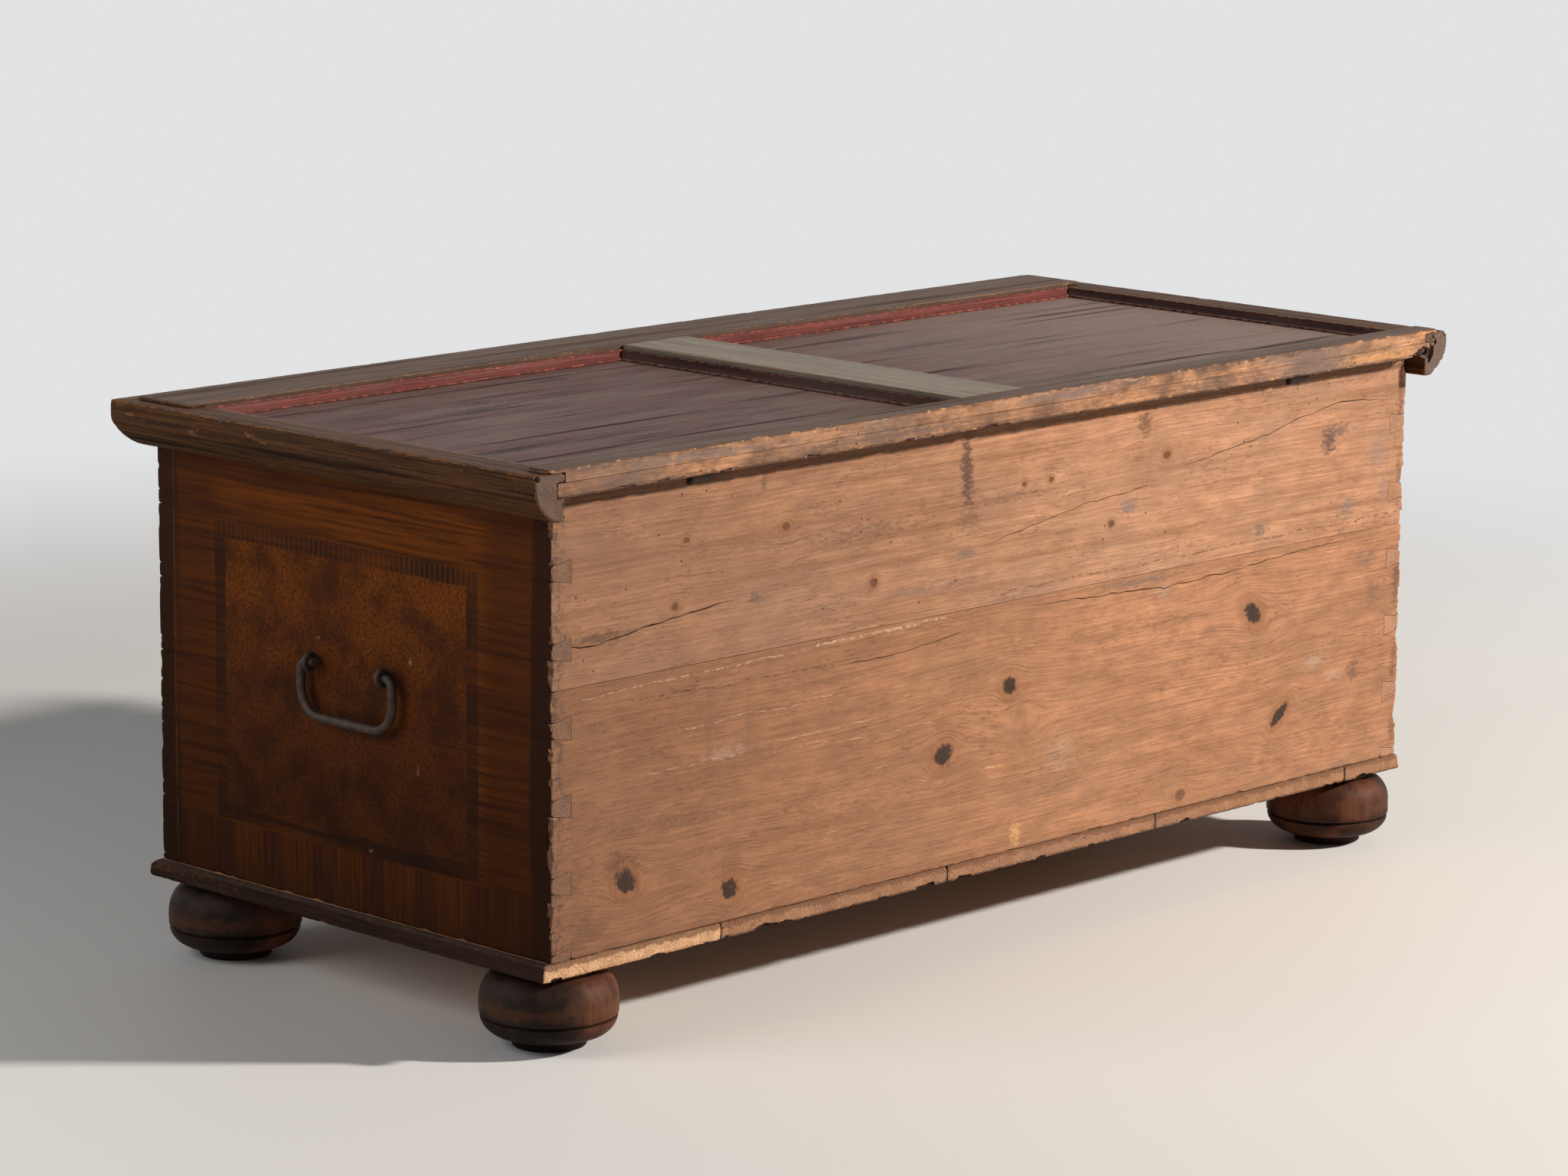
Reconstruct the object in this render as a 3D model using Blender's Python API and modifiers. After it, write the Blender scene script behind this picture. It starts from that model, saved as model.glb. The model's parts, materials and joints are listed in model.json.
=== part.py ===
"""Wedding chest: a dovetailed pine case on bun feet, with a boarded and moulded lid.

Metres, +Z up. The origin is on the floor under the middle of the chest. The front faces -Y,
the back faces +Y, and the ends face +X (right) and -X (left).
"""
import bpy
import bmesh
from math import asin, cos, degrees, pi, radians, sin, sqrt
from mathutils import Matrix, Vector

# Clearances
FIT = 0.0003              # gap left between pieces that touch
CUT_OVER = 0.004          # how far a cutter reaches past the face it opens
MERGE = 0.00001           # points closer than this are one point

# Case
CASE_LEN = 1.300          # along X, over the end boards
CASE_DEP = 0.580          # along Y, over the front and back boards
CASE_H = 0.454            # height of the four walls
END_T = 0.026             # thickness of the end boards
WALL_T = 0.024            # thickness of the front and back boards

# Dovetails
TAILS = 6                 # tails on each corner
PIN_OUT = 0.014           # width of a pin at the outer face
PIN_SLOPE = 1 / 6         # sideways slope of a tail's cheek
BACK_JOINT_TAIL = 3       # tail that the joint between the back boards runs through
FRONT_JOINT_TAIL = 2      # tail that the joint between the front boards runs through
END_JOINT_TAIL = 2        # tail that the joint between the end boards runs beside

# Bottom boards, which run front to back
BASE_T = 0.017            # thickness
BASE_OUT = 0.010          # overhang at the ends and the front
BASE_ROUND = 0.008        # rounding of the moulded top edge
BASE_ROUND_STEPS = 4
BASE_SHARES = (0.181, 0.249, 0.249, 0.246, 0.075)   # each board's share of the length, from the right

# Bun feet
FOOT_H = 0.080            # floor to the bottom boards
FOOT_R = 0.0685           # greatest radius
FOOT_EQUATOR = 0.040      # height of the greatest radius
FOOT_INSET_X = 0.049      # axis in from the end face
FOOT_INSET_Y = 0.055      # axis in from the front or back face
PAD_R = 0.037             # turned pad on the floor
PAD_H = 0.010
NECK_R = 0.044            # turned neck under the boards
NECK_H = 0.006
GROOVE_DROP = 0.009       # incised line below the greatest radius
GROOVE_HALF = 0.0016
GROOVE_D = 0.0024
TENON_R = 0.014
FOOT_STEPS = 36
FOOT_ARC = 6              # points on each quarter of the bun

# Lid
LID_T = 0.0145            # lid boards
LID_BACK_OUT = 0.023      # overhang past the back face
LID_JOINTS = (-0.052, 0.140)   # joints between the lid boards, from front to back
CLEAT_GAP = 0.003         # running gap between a cleat and the end face
CLEAT_T = 0.038           # cleat thickness
CLEAT_STEP = 0.004        # cleat top below the battens' top
CLEAT_DROP = 0.0225       # cleat bottom below the lid's underside
CLEAT_FACE = 0.021        # height of the cleat's upright outer face
CLEAT_FLAT = 0.013        # width of the flat under the cleat
CLEAT_BOW = 0.0035        # bulge of the ovolo between them
CLEAT_GROOVE = 0.010      # depth of the groove that takes the lid boards
OVOLO_STEPS = 5
FRONT_GAP = 0.002         # running gap between the front moulding and the front face
FRONT_T = 0.021           # front moulding thickness

# Battens on the lid
BATTEN_T = 0.0137
FRONT_BATTEN_W = 0.080
BACK_BATTEN_W = 0.030
MIDDLE_BATTEN_W = 0.096
MIDDLE_X = 0.025          # middle batten, off centre to the right
BATTEN_LAP = 0.020        # how far a long batten laps over the cleats

# Field mouldings
BEAD_W = 0.017
BEAD_H = 0.0094
BEAD_FILLET = 0.005       # width of the flat on top
BEAD_TOE = 0.002          # height of the toe
BEAD_BOW = 0.0022         # hollow of the cove
BEAD_STEPS = 4

# Strap hinges
HINGE_IN = 0.195          # hinge centres in from the end faces
STRAP_W = 0.030
STRAP_T = 0.003
PIN_R = 0.0025
BARREL_PLAY = 0.0002      # gap between the pin and the barrels
HINGE_OUT = 0.001         # hinge axis out from the back face
KNUCKLE_W = 0.012         # middle knuckle, on the lid strap
KNUCKLE_PLAY = 0.0004     # side play of the middle knuckle
LID_STRAP_LEN = 0.300     # from the axis
BACK_STRAP_LEN = 0.140    # down the inside of the back
STRAP_POINT = 0.024       # length of the pointed end
NOTCH_PLAY = 0.001        # side play of a strap in its notch
BARREL_STEPS = 20

# Handles
HANDLE_Y = 0.010          # handle centre, towards the back
HANDLE_Z = 0.343          # height of the pivots
EYE_SPACING = 0.107
EYE_STANDOFF = 0.0011     # gap between an eye's ring and the end face
EYE_PLAY = 0.0006         # gap round the rod in its eye
EYE_WIRE_R = 0.0026
EYE_STEPS = 20
SHANK_R = 0.0032
SHANK_STEPS = 12
SHANK_COVER = 0.005       # wood left behind the shank's end
BAIL_ROD_R = 0.0045
BAIL_SHOULDER = 0.004     # straight run outside an eye, from the eye's middle
BAIL_DROP = 0.054         # from the pivots to the middle of the grip
BAIL_CURL = 0.010         # radius where the ends turn in to the eyes
BAIL_CORNER = 0.028       # radius of the lower corners
BAIL_END = 0.0075         # how far an end reaches past its eye
BAIL_ARC_STEPS = 5
ROD_STEPS = 2             # subdivisions of a rod's round section

# Levels and faces that follow from the sizes above
BASE_Z = FOOT_H + FIT
CASE_Z = BASE_Z + BASE_T + FIT
TOP_Z = CASE_Z + CASE_H
LID_Z = TOP_Z + FIT
LID_TOP = LID_Z + LID_T
BATTEN_Z = LID_TOP + FIT
BATTEN_TOP = BATTEN_Z + BATTEN_T
CLEAT_TOP = BATTEN_TOP - CLEAT_STEP
CLEAT_Z = LID_Z - CLEAT_DROP
END_X = CASE_LEN / 2
FACE_Y = CASE_DEP / 2
CLEAT_X = END_X + CLEAT_GAP
LID_FRONT_Y = -FACE_Y - FRONT_GAP
LID_BACK_Y = FACE_Y + LID_BACK_OUT
BATTEN_FRONT_Y = LID_FRONT_Y + FIT
FIELD_FRONT_Y = BATTEN_FRONT_Y + FRONT_BATTEN_W
FIELD_BACK_Y = LID_BACK_Y - BACK_BATTEN_W
PITCH = CASE_H / TAILS
BARREL_R = PIN_R + BARREL_PLAY + STRAP_T
AXIS_Y = FACE_Y + HINGE_OUT
AXIS_Z = LID_Z - FIT - BARREL_R
NOTCH_Z = AXIS_Z - BARREL_R - FIT
HINGE_X = END_X - HINGE_IN
EYE_R = BAIL_ROD_R + EYE_PLAY + EYE_WIRE_R     # to the middle of the ring's wire
PIVOT_X = END_X + EYE_STANDOFF + EYE_R + EYE_WIRE_R
SHANK_X = END_X - END_T + SHANK_COVER          # inner end of the shanks


def clear_scene():
    """Removes whatever objects the file opened with."""
    for obj in list(bpy.data.objects):
        bpy.data.objects.remove(obj, do_unlink=True)


def collection(name):
    """Returns a new collection linked to the scene."""
    made = bpy.data.collections.new(name)
    bpy.context.scene.collection.children.link(made)
    return made


def material(name, colour, roughness, metallic=0.0):
    """Returns a Principled material with the given colour and finish."""
    mat = bpy.data.materials.new(name)
    mat.use_nodes = True
    shader = mat.node_tree.nodes["Principled BSDF"]
    shader.inputs["Base Color"].default_value = (*colour, 1.0)
    shader.inputs["Roughness"].default_value = roughness
    shader.inputs["Metallic"].default_value = metallic
    return mat


clear_scene()
PARTS = collection("wedding_chest")
CUTTERS = collection("wedding_chest_cutters")


def empty(name, location):
    """Returns an empty that marks a joint's axis or carries a group of pieces."""
    obj = bpy.data.objects.new(name, None)
    obj.location = location
    PARTS.objects.link(obj)
    return obj


CHEST = empty("chest", (0.0, 0.0, 0.0))
LID = empty("lid_axis", (0.0, AXIS_Y, AXIS_Z))


def mesh_object(name, mesh):
    """Returns an object for a mesh, not yet in a collection."""
    return bpy.data.objects.new(name, mesh)


def seat(obj, mat, carrier=CHEST):
    """Puts a finished piece in the chest, on the empty that carries it."""
    PARTS.objects.link(obj)
    obj.data.materials.clear()
    obj.data.materials.append(mat)
    obj.parent = carrier
    obj.location = obj.location - carrier.location
    return obj


def combine(obj, tool, operation):
    """Joins a tool to a piece or cuts it away, and keeps the tool out of the build."""
    if tool.name not in CUTTERS.objects:
        CUTTERS.objects.link(tool)
    tool.hide_render = True
    tool.display_type = 'WIRE'
    mod = obj.modifiers.new("with_" + tool.name, 'BOOLEAN')
    mod.operation = operation
    mod.solver = 'EXACT'
    mod.object = tool


def cut(obj, cutter):
    """Cuts one piece with a cutter."""
    combine(obj, cutter, 'DIFFERENCE')


def box(name, low, high):
    """Returns a box between two corners, with its origin in its middle."""
    low = Vector(low)
    high = Vector(high)
    mesh = bpy.data.meshes.new(name)
    work = bmesh.new()
    bmesh.ops.create_cube(work, size=1.0, matrix=Matrix.Diagonal((*(high - low), 1.0)))
    work.to_mesh(mesh)
    work.free()
    obj = mesh_object(name, mesh)
    obj.location = (low + high) / 2
    return obj


def cylinder(name, radius, low, high, steps):
    """Returns a closed cylinder between two points."""
    low = Vector(low)
    high = Vector(high)
    axis = high - low
    mesh = bpy.data.meshes.new(name)
    work = bmesh.new()
    turn = axis.to_track_quat('Z', 'Y').to_matrix().to_4x4()
    bmesh.ops.create_cone(work, cap_ends=True, segments=steps, radius1=radius, radius2=radius,
                          depth=axis.length, matrix=turn)
    work.to_mesh(mesh)
    work.free()
    obj = mesh_object(name, mesh)
    obj.location = (low + high) / 2
    return obj


# How a flat outline drawn in X and Y is turned to lie across one world axis
TURNS = {
    'X': (pi / 2, 0.0, pi / 2),    # drawn (y, z), thickness along X
    'Y': (pi / 2, 0.0, 0.0),       # drawn (x, z), thickness along Y
    'Z': (0.0, 0.0, 0.0),          # drawn (x, y), thickness along Z
}


def prism(name, loops, across, start, stop):
    """Returns a mesh made from one or more closed outlines, thick from start to stop across an axis.

    The outlines are given in world order: (y, z), (x, z) or (x, y).
    """
    curve = bpy.data.curves.new(name, 'CURVE')
    curve.dimensions = '2D'
    curve.fill_mode = 'BOTH'
    curve.extrude = (stop - start) / 2
    for loop in loops:
        spline = curve.splines.new('POLY')
        spline.points.add(len(loop) - 1)
        spline.use_cyclic_u = True
        for point, (u, v) in zip(spline.points, loop):
            point.co = (u, v, 0.0, 1.0)
    drawn = bpy.data.objects.new(name + "_outline", curve)
    bpy.context.scene.collection.objects.link(drawn)
    bpy.context.view_layer.update()
    mesh = bpy.data.meshes.new_from_object(drawn.evaluated_get(bpy.context.evaluated_depsgraph_get()))
    bpy.data.objects.remove(drawn)
    bpy.data.curves.remove(curve)
    mesh.name = name
    work = bmesh.new()
    work.from_mesh(mesh)
    bmesh.ops.remove_doubles(work, verts=work.verts, dist=MERGE)
    bmesh.ops.recalc_face_normals(work, faces=work.faces)
    work.to_mesh(mesh)
    work.free()
    obj = mesh_object(name, mesh)
    obj.rotation_euler = TURNS[across]
    middle = (start + stop) / 2
    obj.location = {'X': (middle, 0, 0), 'Y': (0, middle, 0), 'Z': (0, 0, middle)}[across]
    return obj


def arc(centre, radius, first, last, steps):
    """Returns points on an arc, angles in degrees, both ends included."""
    points = []
    for k in range(steps + 1):
        angle = radians(first + (last - first) * k / steps)
        points.append((centre[0] + radius * cos(angle), centre[1] + radius * sin(angle)))
    return points


def bowed(start, stop, bow, steps):
    """Returns the points of a bowed line, both ends included; bow is to the right of its run."""
    start = Vector(start)
    stop = Vector(stop)
    run = stop - start
    side = Vector((run.y, -run.x)).normalized()
    points = []
    for k in range(steps + 1):
        t = k / steps
        points.append(tuple(start + run * t + side * (4 * bow * t * (1 - t))))
    return points


# Dovetailed walls

def pin_centres():
    """Returns the heights of the pins' middles, half pins at both ends included."""
    return [CASE_Z + k * PITCH for k in range(TAILS + 1)]


def pin_half(depth):
    """Returns half a pin's width at a depth in from the outer end face."""
    return PIN_OUT / 2 + depth * PIN_SLOPE


def tail_edge(low, high):
    """Returns the right edge of a tailed board from its bottom to its top, as (x, z) points."""
    root_x = END_X - END_T - FIT
    root = pin_half(END_T + FIT) + FIT
    tip = pin_half(0.0) + FIT
    edge = []
    for z in pin_centres():
        below = [(END_X, z - tip), (root_x, z - root)]
        above = [(root_x, z + root), (END_X, z + tip)]
        if abs(z - low) < FIT:
            edge += [(root_x, low)] + above
        elif abs(z - high) < FIT:
            edge += below + [(root_x, high)]
        elif low < z < high:
            edge += below + above
    if edge[0][1] > low:
        edge.insert(0, (END_X, low))
    if edge[-1][1] < high:
        edge.append((END_X, high))
    return edge


def tailed_outline(low, high, top_notches=()):
    """Returns a front or back board's outline, with tails at both ends and notches in its top."""
    right = tail_edge(low, high)
    left = [(-x, z) for x, z in reversed(right)]
    top = []
    for x in sorted(top_notches, reverse=True):
        half = STRAP_W / 2 + NOTCH_PLAY
        top += [(x + half, high), (x + half, NOTCH_Z), (x - half, NOTCH_Z), (x - half, high)]
    return right + top + left


def tailed_wall(side, face, joint_tail, mat, top_notches=()):
    """Builds a front or back wall of two tailed boards; face is its side's sign along Y."""
    joint = CASE_Z + (joint_tail + 0.5) * PITCH
    inner = FACE_Y - WALL_T
    start, stop = (inner, FACE_Y) if face > 0 else (-FACE_Y, -inner)
    upper = tailed_outline(joint + FIT / 2, TOP_Z, top_notches)
    lower = tailed_outline(CASE_Z, joint - FIT / 2)
    seat(prism(side + "_upper_board", [upper], 'Y', start, stop), mat)
    seat(prism(side + "_lower_board", [lower], 'Y', start, stop), mat)


def socket_outlines(sign):
    """Returns the outlines of all the sockets between the pins of one end, as (x, z) points."""
    outer = -CUT_OVER
    inner = END_T + CUT_OVER
    centres = pin_centres()
    loops = []
    for low, high in zip(centres, centres[1:]):
        loop = [
            (sign * (END_X - inner), low + pin_half(inner)),
            (sign * (END_X - outer), low + pin_half(outer)),
            (sign * (END_X - outer), high - pin_half(outer)),
            (sign * (END_X - inner), high - pin_half(inner)),
        ]
        loops.append(loop)
    return loops


def end_wall(side, sign, mat):
    """Builds an end wall of two pinned boards with holes for the handle's eyes."""
    joint = CASE_Z + (END_JOINT_TAIL + 0.5) * PITCH
    xs = sorted((sign * (END_X - END_T), sign * END_X))
    upper = box(side + "_end_upper_board", (xs[0], -FACE_Y, joint + FIT / 2), (xs[1], FACE_Y, TOP_Z))
    lower = box(side + "_end_lower_board", (xs[0], -FACE_Y, CASE_Z), (xs[1], FACE_Y, joint - FIT / 2))
    root = FACE_Y - WALL_T - FIT
    rim = FACE_Y + CUT_OVER
    back = prism(side + "_back_sockets", socket_outlines(sign), 'Y', root, rim)
    front = prism(side + "_front_sockets", socket_outlines(sign), 'Y', -rim, -root)
    for board in (upper, lower):
        cut(board, back)
        cut(board, front)
    hole_r = SHANK_R + FIT
    for k, y in enumerate(eye_places()):
        hole = cylinder(f"{side}_eye_hole_{k + 1}", hole_r, (sign * (SHANK_X - FIT), y, HANDLE_Z),
                        (sign * (END_X + CUT_OVER), y, HANDLE_Z), SHANK_STEPS)
        if HANDLE_Z + hole_r > joint:
            cut(upper, hole)
        if HANDLE_Z - hole_r < joint:
            cut(lower, hole)
    seat(upper, mat)
    seat(lower, mat)


# Bottom boards and feet

def foot_places():
    """Returns each foot's name and its place on the floor."""
    places = []
    for end, sx in (("right", 1), ("left", -1)):
        for face, sy in (("back", 1), ("front", -1)):
            x = sx * (END_X - FOOT_INSET_X)
            y = sy * (FACE_Y - FOOT_INSET_Y)
            places.append((f"{end}_{face}_foot", x, y))
    return places


def round_top_edges(obj, along_front, along_x):
    """Rounds a bottom board's top edge at the front, and at one end where along_x isn't zero."""
    work = bmesh.new()
    work.from_mesh(obj.data)
    top = max(v.co.z for v in work.verts)
    front = min(v.co.y for v in work.verts)
    reach = max(v.co.x for v in work.verts)
    picked = []
    for edge in work.edges:
        a, b = (v.co for v in edge.verts)
        if min(a.z, b.z) < top - FIT:
            continue
        at_front = along_front and max(a.y, b.y) < front + FIT
        at_end = along_x and min(along_x * a.x, along_x * b.x) > reach - FIT
        if at_front or at_end:
            picked.append(edge)
    bmesh.ops.bevel(work, geom=picked, offset=BASE_ROUND, offset_type='OFFSET', segments=BASE_ROUND_STEPS,
                    profile=0.5, affect='EDGES', clamp_overlap=True, material=-1)
    work.to_mesh(obj.data)
    work.free()


def bottom_boards(mat):
    """Builds the bottom from boards that run front to back, moulded at the front and the ends."""
    reach = END_X + BASE_OUT
    right = reach
    for k, share in enumerate(BASE_SHARES):
        left = right - 2 * reach * share / sum(BASE_SHARES)
        first = k == 0
        last = k == len(BASE_SHARES) - 1
        x1 = right if first else right - FIT / 2
        x0 = left if last else left + FIT / 2
        right = left
        board = box(f"bottom_board_{k + 1}", (x0, -FACE_Y - BASE_OUT, BASE_Z), (x1, FACE_Y, BASE_Z + BASE_T))
        round_top_edges(board, True, 1 if first else -1 if last else 0)
        for name, x, y in foot_places():
            hole_r = TENON_R + FIT
            if x0 - hole_r < x < x1 + hole_r:
                hole = cylinder(f"{name}_hole_{k + 1}", hole_r, (x, y, BASE_Z - CUT_OVER),
                                (x, y, BASE_Z + BASE_T + CUT_OVER), FOOT_STEPS)
                cut(board, hole)
        seat(board, mat)


def foot_profile():
    """Returns a bun foot's outline from the top of its tenon down to the floor, as (radius, z)."""
    shoulder = FOOT_H - NECK_H
    tenon_top = BASE_Z + BASE_T
    upper = []
    for k in range(FOOT_ARC + 1):
        turn = pi / 2 * (1 - k / FOOT_ARC)
        radius = NECK_R + (FOOT_R - NECK_R) * cos(turn)
        upper.append((radius, FOOT_EQUATOR + (shoulder - FOOT_EQUATOR) * sin(turn)))
    lower = []
    for k in range(1, FOOT_ARC + 1):
        turn = pi / 2 * k / FOOT_ARC
        radius = PAD_R + (FOOT_R - PAD_R) * cos(turn)
        lower.append((radius, FOOT_EQUATOR - (FOOT_EQUATOR - PAD_H) * sin(turn)))

    def bun_radius(z):
        share = (FOOT_EQUATOR - z) / (FOOT_EQUATOR - PAD_H)
        return PAD_R + (FOOT_R - PAD_R) * sqrt(1 - share * share)

    groove_z = FOOT_EQUATOR - GROOVE_DROP
    groove_top = groove_z + GROOVE_HALF
    groove_low = groove_z - GROOVE_HALF
    groove = [
        (bun_radius(groove_top), groove_top),
        (bun_radius(groove_z) - GROOVE_D, groove_z),
        (bun_radius(groove_low), groove_low),
    ]
    over = [p for p in lower if p[1] > groove_top + GROOVE_HALF]
    under = [p for p in lower if p[1] < groove_low - GROOVE_HALF]
    tenon = [(0.0, tenon_top), (TENON_R, tenon_top), (TENON_R, FOOT_H), (NECK_R, FOOT_H)]
    pad = [(PAD_R, 0.0), (0.0, 0.0)]
    return tenon + upper + over + groove + under + pad


def turned(name, profile, steps):
    """Returns a turned piece: a profile at +X swept round Z."""
    mesh = bpy.data.meshes.new(name)
    verts = [(r, 0.0, z) for r, z in profile]
    mesh.from_pydata(verts, [(k, k + 1) for k in range(len(verts) - 1)], [])
    obj = mesh_object(name, mesh)
    mod = obj.modifiers.new("turn", 'SCREW')
    mod.axis = 'Z'
    mod.angle = 2 * pi
    mod.steps = steps
    mod.render_steps = steps
    mod.use_merge_vertices = True
    mod.merge_threshold = MERGE
    mod.use_smooth_shade = True
    return obj


def feet(mat):
    """Builds the four bun feet with their tenons up through the bottom boards."""
    for name, x, y in foot_places():
        foot = turned(name, foot_profile(), FOOT_STEPS)
        foot.location = (x, y, 0.0)
        seat(foot, mat)


# Lid

def lid_boards(mat):
    """Builds the lid boards, whose ends sit in the cleats' grooves."""
    reach = CLEAT_X + CLEAT_GROOVE - FIT
    edges = (LID_FRONT_Y + FIT, *LID_JOINTS, LID_BACK_Y)
    for k, (name, front, back) in enumerate(zip(("front", "middle", "back"), edges, edges[1:])):
        y0 = front if k == 0 else front + FIT / 2
        y1 = back if k == len(LID_JOINTS) else back - FIT / 2
        board = box(f"lid_{name}_board", (-reach, y0, LID_Z), (reach, y1, LID_TOP))
        seat(board, mat, LID)


def edge_profile(thick, groove):
    """Returns the moulded section of the lid's edge as (outward, z) points; groove may be zero."""
    face_z = CLEAT_TOP - CLEAT_FACE
    flat = CLEAT_FLAT * thick / CLEAT_T
    outline = [(0.0, CLEAT_Z)]
    outline += bowed((flat, CLEAT_Z), (thick, face_z), CLEAT_BOW * thick / CLEAT_T, OVOLO_STEPS)
    outline += [(thick, CLEAT_TOP), (0.0, CLEAT_TOP)]
    if groove:
        outline += [
            (0.0, LID_TOP + FIT), (groove, LID_TOP + FIT),
            (groove, LID_Z - FIT), (0.0, LID_Z - FIT),
        ]
    return outline


def slide_end(obj, along, where, shift):
    """Moves the vertices at one end of a prism along it, by a shift worked out from each vertex."""
    place = obj.matrix_basis
    back = place.inverted()
    for vert in obj.data.vertices:
        spot = place @ vert.co
        if abs(spot[along] - where) < MERGE:
            spot[along] += shift(spot)
            vert.co = back @ spot


def cleat(side, sign, mat):
    """Builds one end cleat, mitred to the front moulding and square at the back."""
    outline = [(sign * (CLEAT_X + u), z) for u, z in edge_profile(CLEAT_T, CLEAT_GROOVE)]
    obj = prism(side + "_cleat", [outline], 'Y', LID_FRONT_Y, LID_BACK_Y)
    slide_end(obj, 1, LID_FRONT_Y, lambda spot: -(abs(spot.x) - CLEAT_X) * FRONT_T / CLEAT_T)
    seat(obj, mat, LID)


def front_moulding(mat):
    """Builds the front moulding, mitred to both cleats."""
    outline = [(LID_FRONT_Y - u, z) for u, z in edge_profile(FRONT_T, 0.0)]
    end = CLEAT_X - FIT
    obj = prism("front_moulding", [outline], 'X', -end, end)
    for sign in (1, -1):
        slide_end(obj, 0, sign * end, lambda spot: sign * (LID_FRONT_Y - spot.y) * CLEAT_T / FRONT_T)
    seat(obj, mat, LID)


def long_batten(name, front, back, mat):
    """Builds a batten along the lid whose ends lap over the cleats."""
    inner = CLEAT_X - FIT
    tip = CLEAT_X + BATTEN_LAP
    lap_z = CLEAT_TOP + FIT
    outline = [
        (-inner, BATTEN_Z), (inner, BATTEN_Z), (inner, lap_z), (tip, lap_z),
        (tip, BATTEN_TOP), (-tip, BATTEN_TOP), (-tip, lap_z), (-inner, lap_z),
    ]
    seat(prism(name, [outline], 'Y', front, back), mat, LID)


def battens(mat):
    """Builds the battens along the front and the back and the one across the middle."""
    long_batten("front_batten", BATTEN_FRONT_Y, FIELD_FRONT_Y, mat)
    long_batten("back_batten", FIELD_BACK_Y, LID_BACK_Y, mat)
    half = MIDDLE_BATTEN_W / 2
    middle = box("middle_batten", (MIDDLE_X - half, FIELD_FRONT_Y + FIT, BATTEN_Z),
                 (MIDDLE_X + half, FIELD_BACK_Y - FIT, BATTEN_TOP))
    seat(middle, mat, LID)


def bead_profile():
    """Returns a field moulding's section as (inward, z) points from the wall it stands against."""
    top = BATTEN_Z + BEAD_H
    outline = [(0.0, BATTEN_Z), (BEAD_W, BATTEN_Z)]
    outline += bowed((BEAD_W, BATTEN_Z + BEAD_TOE), (BEAD_FILLET, top - BEAD_TOE), -BEAD_BOW, BEAD_STEPS)
    outline += [(BEAD_FILLET, top), (0.0, top)]
    return outline


def bead(name, across, wall, inward, low, high, mat):
    """Builds one field moulding between two corners, mitred at both ends.

    Args:
        across: the axis that it runs along.
        wall: where the face that it stands against is, on the other level axis.
        inward: the sign of the way into the field on that axis.
        low, high: the field's corners along it.
    """
    outline = [(wall + inward * u, z) for u, z in bead_profile()]
    obj = prism(name, [outline], across, low, high)
    along = 'XY'.index(across)
    other = 1 - along
    for where, sign in ((low, 1), (high, -1)):
        slide_end(obj, along, where, lambda spot: sign * (abs(spot[other] - wall) + FIT))
    seat(obj, mat, LID)


def field_mouldings(front_mat, side_mat):
    """Builds the four mitred mouldings round each of the two lid fields."""
    half = MIDDLE_BATTEN_W / 2
    y0 = FIELD_FRONT_Y + FIT
    y1 = FIELD_BACK_Y - FIT
    fields = (
        ("right", MIDDLE_X + half + FIT, CLEAT_X - FIT),
        ("left", -CLEAT_X + FIT, MIDDLE_X - half - FIT),
    )
    for field, x0, x1 in fields:
        bead(f"{field}_field_front_moulding", 'X', y0, 1, x0, x1, front_mat)
        bead(f"{field}_field_back_moulding", 'X', y1, -1, x0, x1, side_mat)
        bead(f"{field}_field_left_moulding", 'Y', x0, 1, y0, y1, side_mat)
        bead(f"{field}_field_right_moulding", 'Y', x1, -1, y0, y1, side_mat)


# Hinges

def barrel_hole():
    """Returns the outline of the hole for the hinge pin, as (y, z) points."""
    return arc((AXIS_Y, AXIS_Z), PIN_R + BARREL_PLAY, 0, 360, BARREL_STEPS)[:-1]


def roll_past():
    """Returns how far past level, in degrees, a strap rolls before it meets its own bar."""
    return degrees(asin((BARREL_R - STRAP_T) / BARREL_R))


def lid_strap_outline():
    """Returns the lid strap seen from its edge: a bar along the lid that rolls round the pin."""
    top = AXIS_Z + BARREL_R
    tip = AXIS_Y - LID_STRAP_LEN
    roll = arc((AXIS_Y, AXIS_Z), BARREL_R, 90, -180 - roll_past(), BARREL_STEPS)
    return [(tip, top - STRAP_T), (tip, top), *roll]


def back_strap_outline():
    """Returns the back strap seen from its edge: it rolls round the pin and bends down the back."""
    low = AXIS_Z - BARREL_R
    skin = FACE_Y - WALL_T - FIT
    foot = low - BACK_STRAP_LEN
    roll = arc((AXIS_Y, AXIS_Z), BARREL_R, -90, 180 + roll_past(), BARREL_STEPS)
    return [(skin, foot), (skin, low), *roll, (skin - STRAP_T, low + STRAP_T), (skin - STRAP_T, foot)]


def strap_tip_cutter(name, x, tip, across, start, stop, way):
    """Returns a cutter that points a strap's end; tip is the end and way the sign out of it."""
    half = STRAP_W / 2
    root = tip - way * STRAP_POINT
    out = tip + way * CUT_OVER
    loops = []
    for sign in (1, -1):
        side = x + sign * (half + CUT_OVER)
        spread = half * CUT_OVER / STRAP_POINT
        loop = [(side, root - way * CUT_OVER), (x + sign * (half + spread), root - way * CUT_OVER),
                (x, tip), (x, out), (side, out)]
        loops.append(loop)
    return prism(name, loops, across, start, stop)


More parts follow.
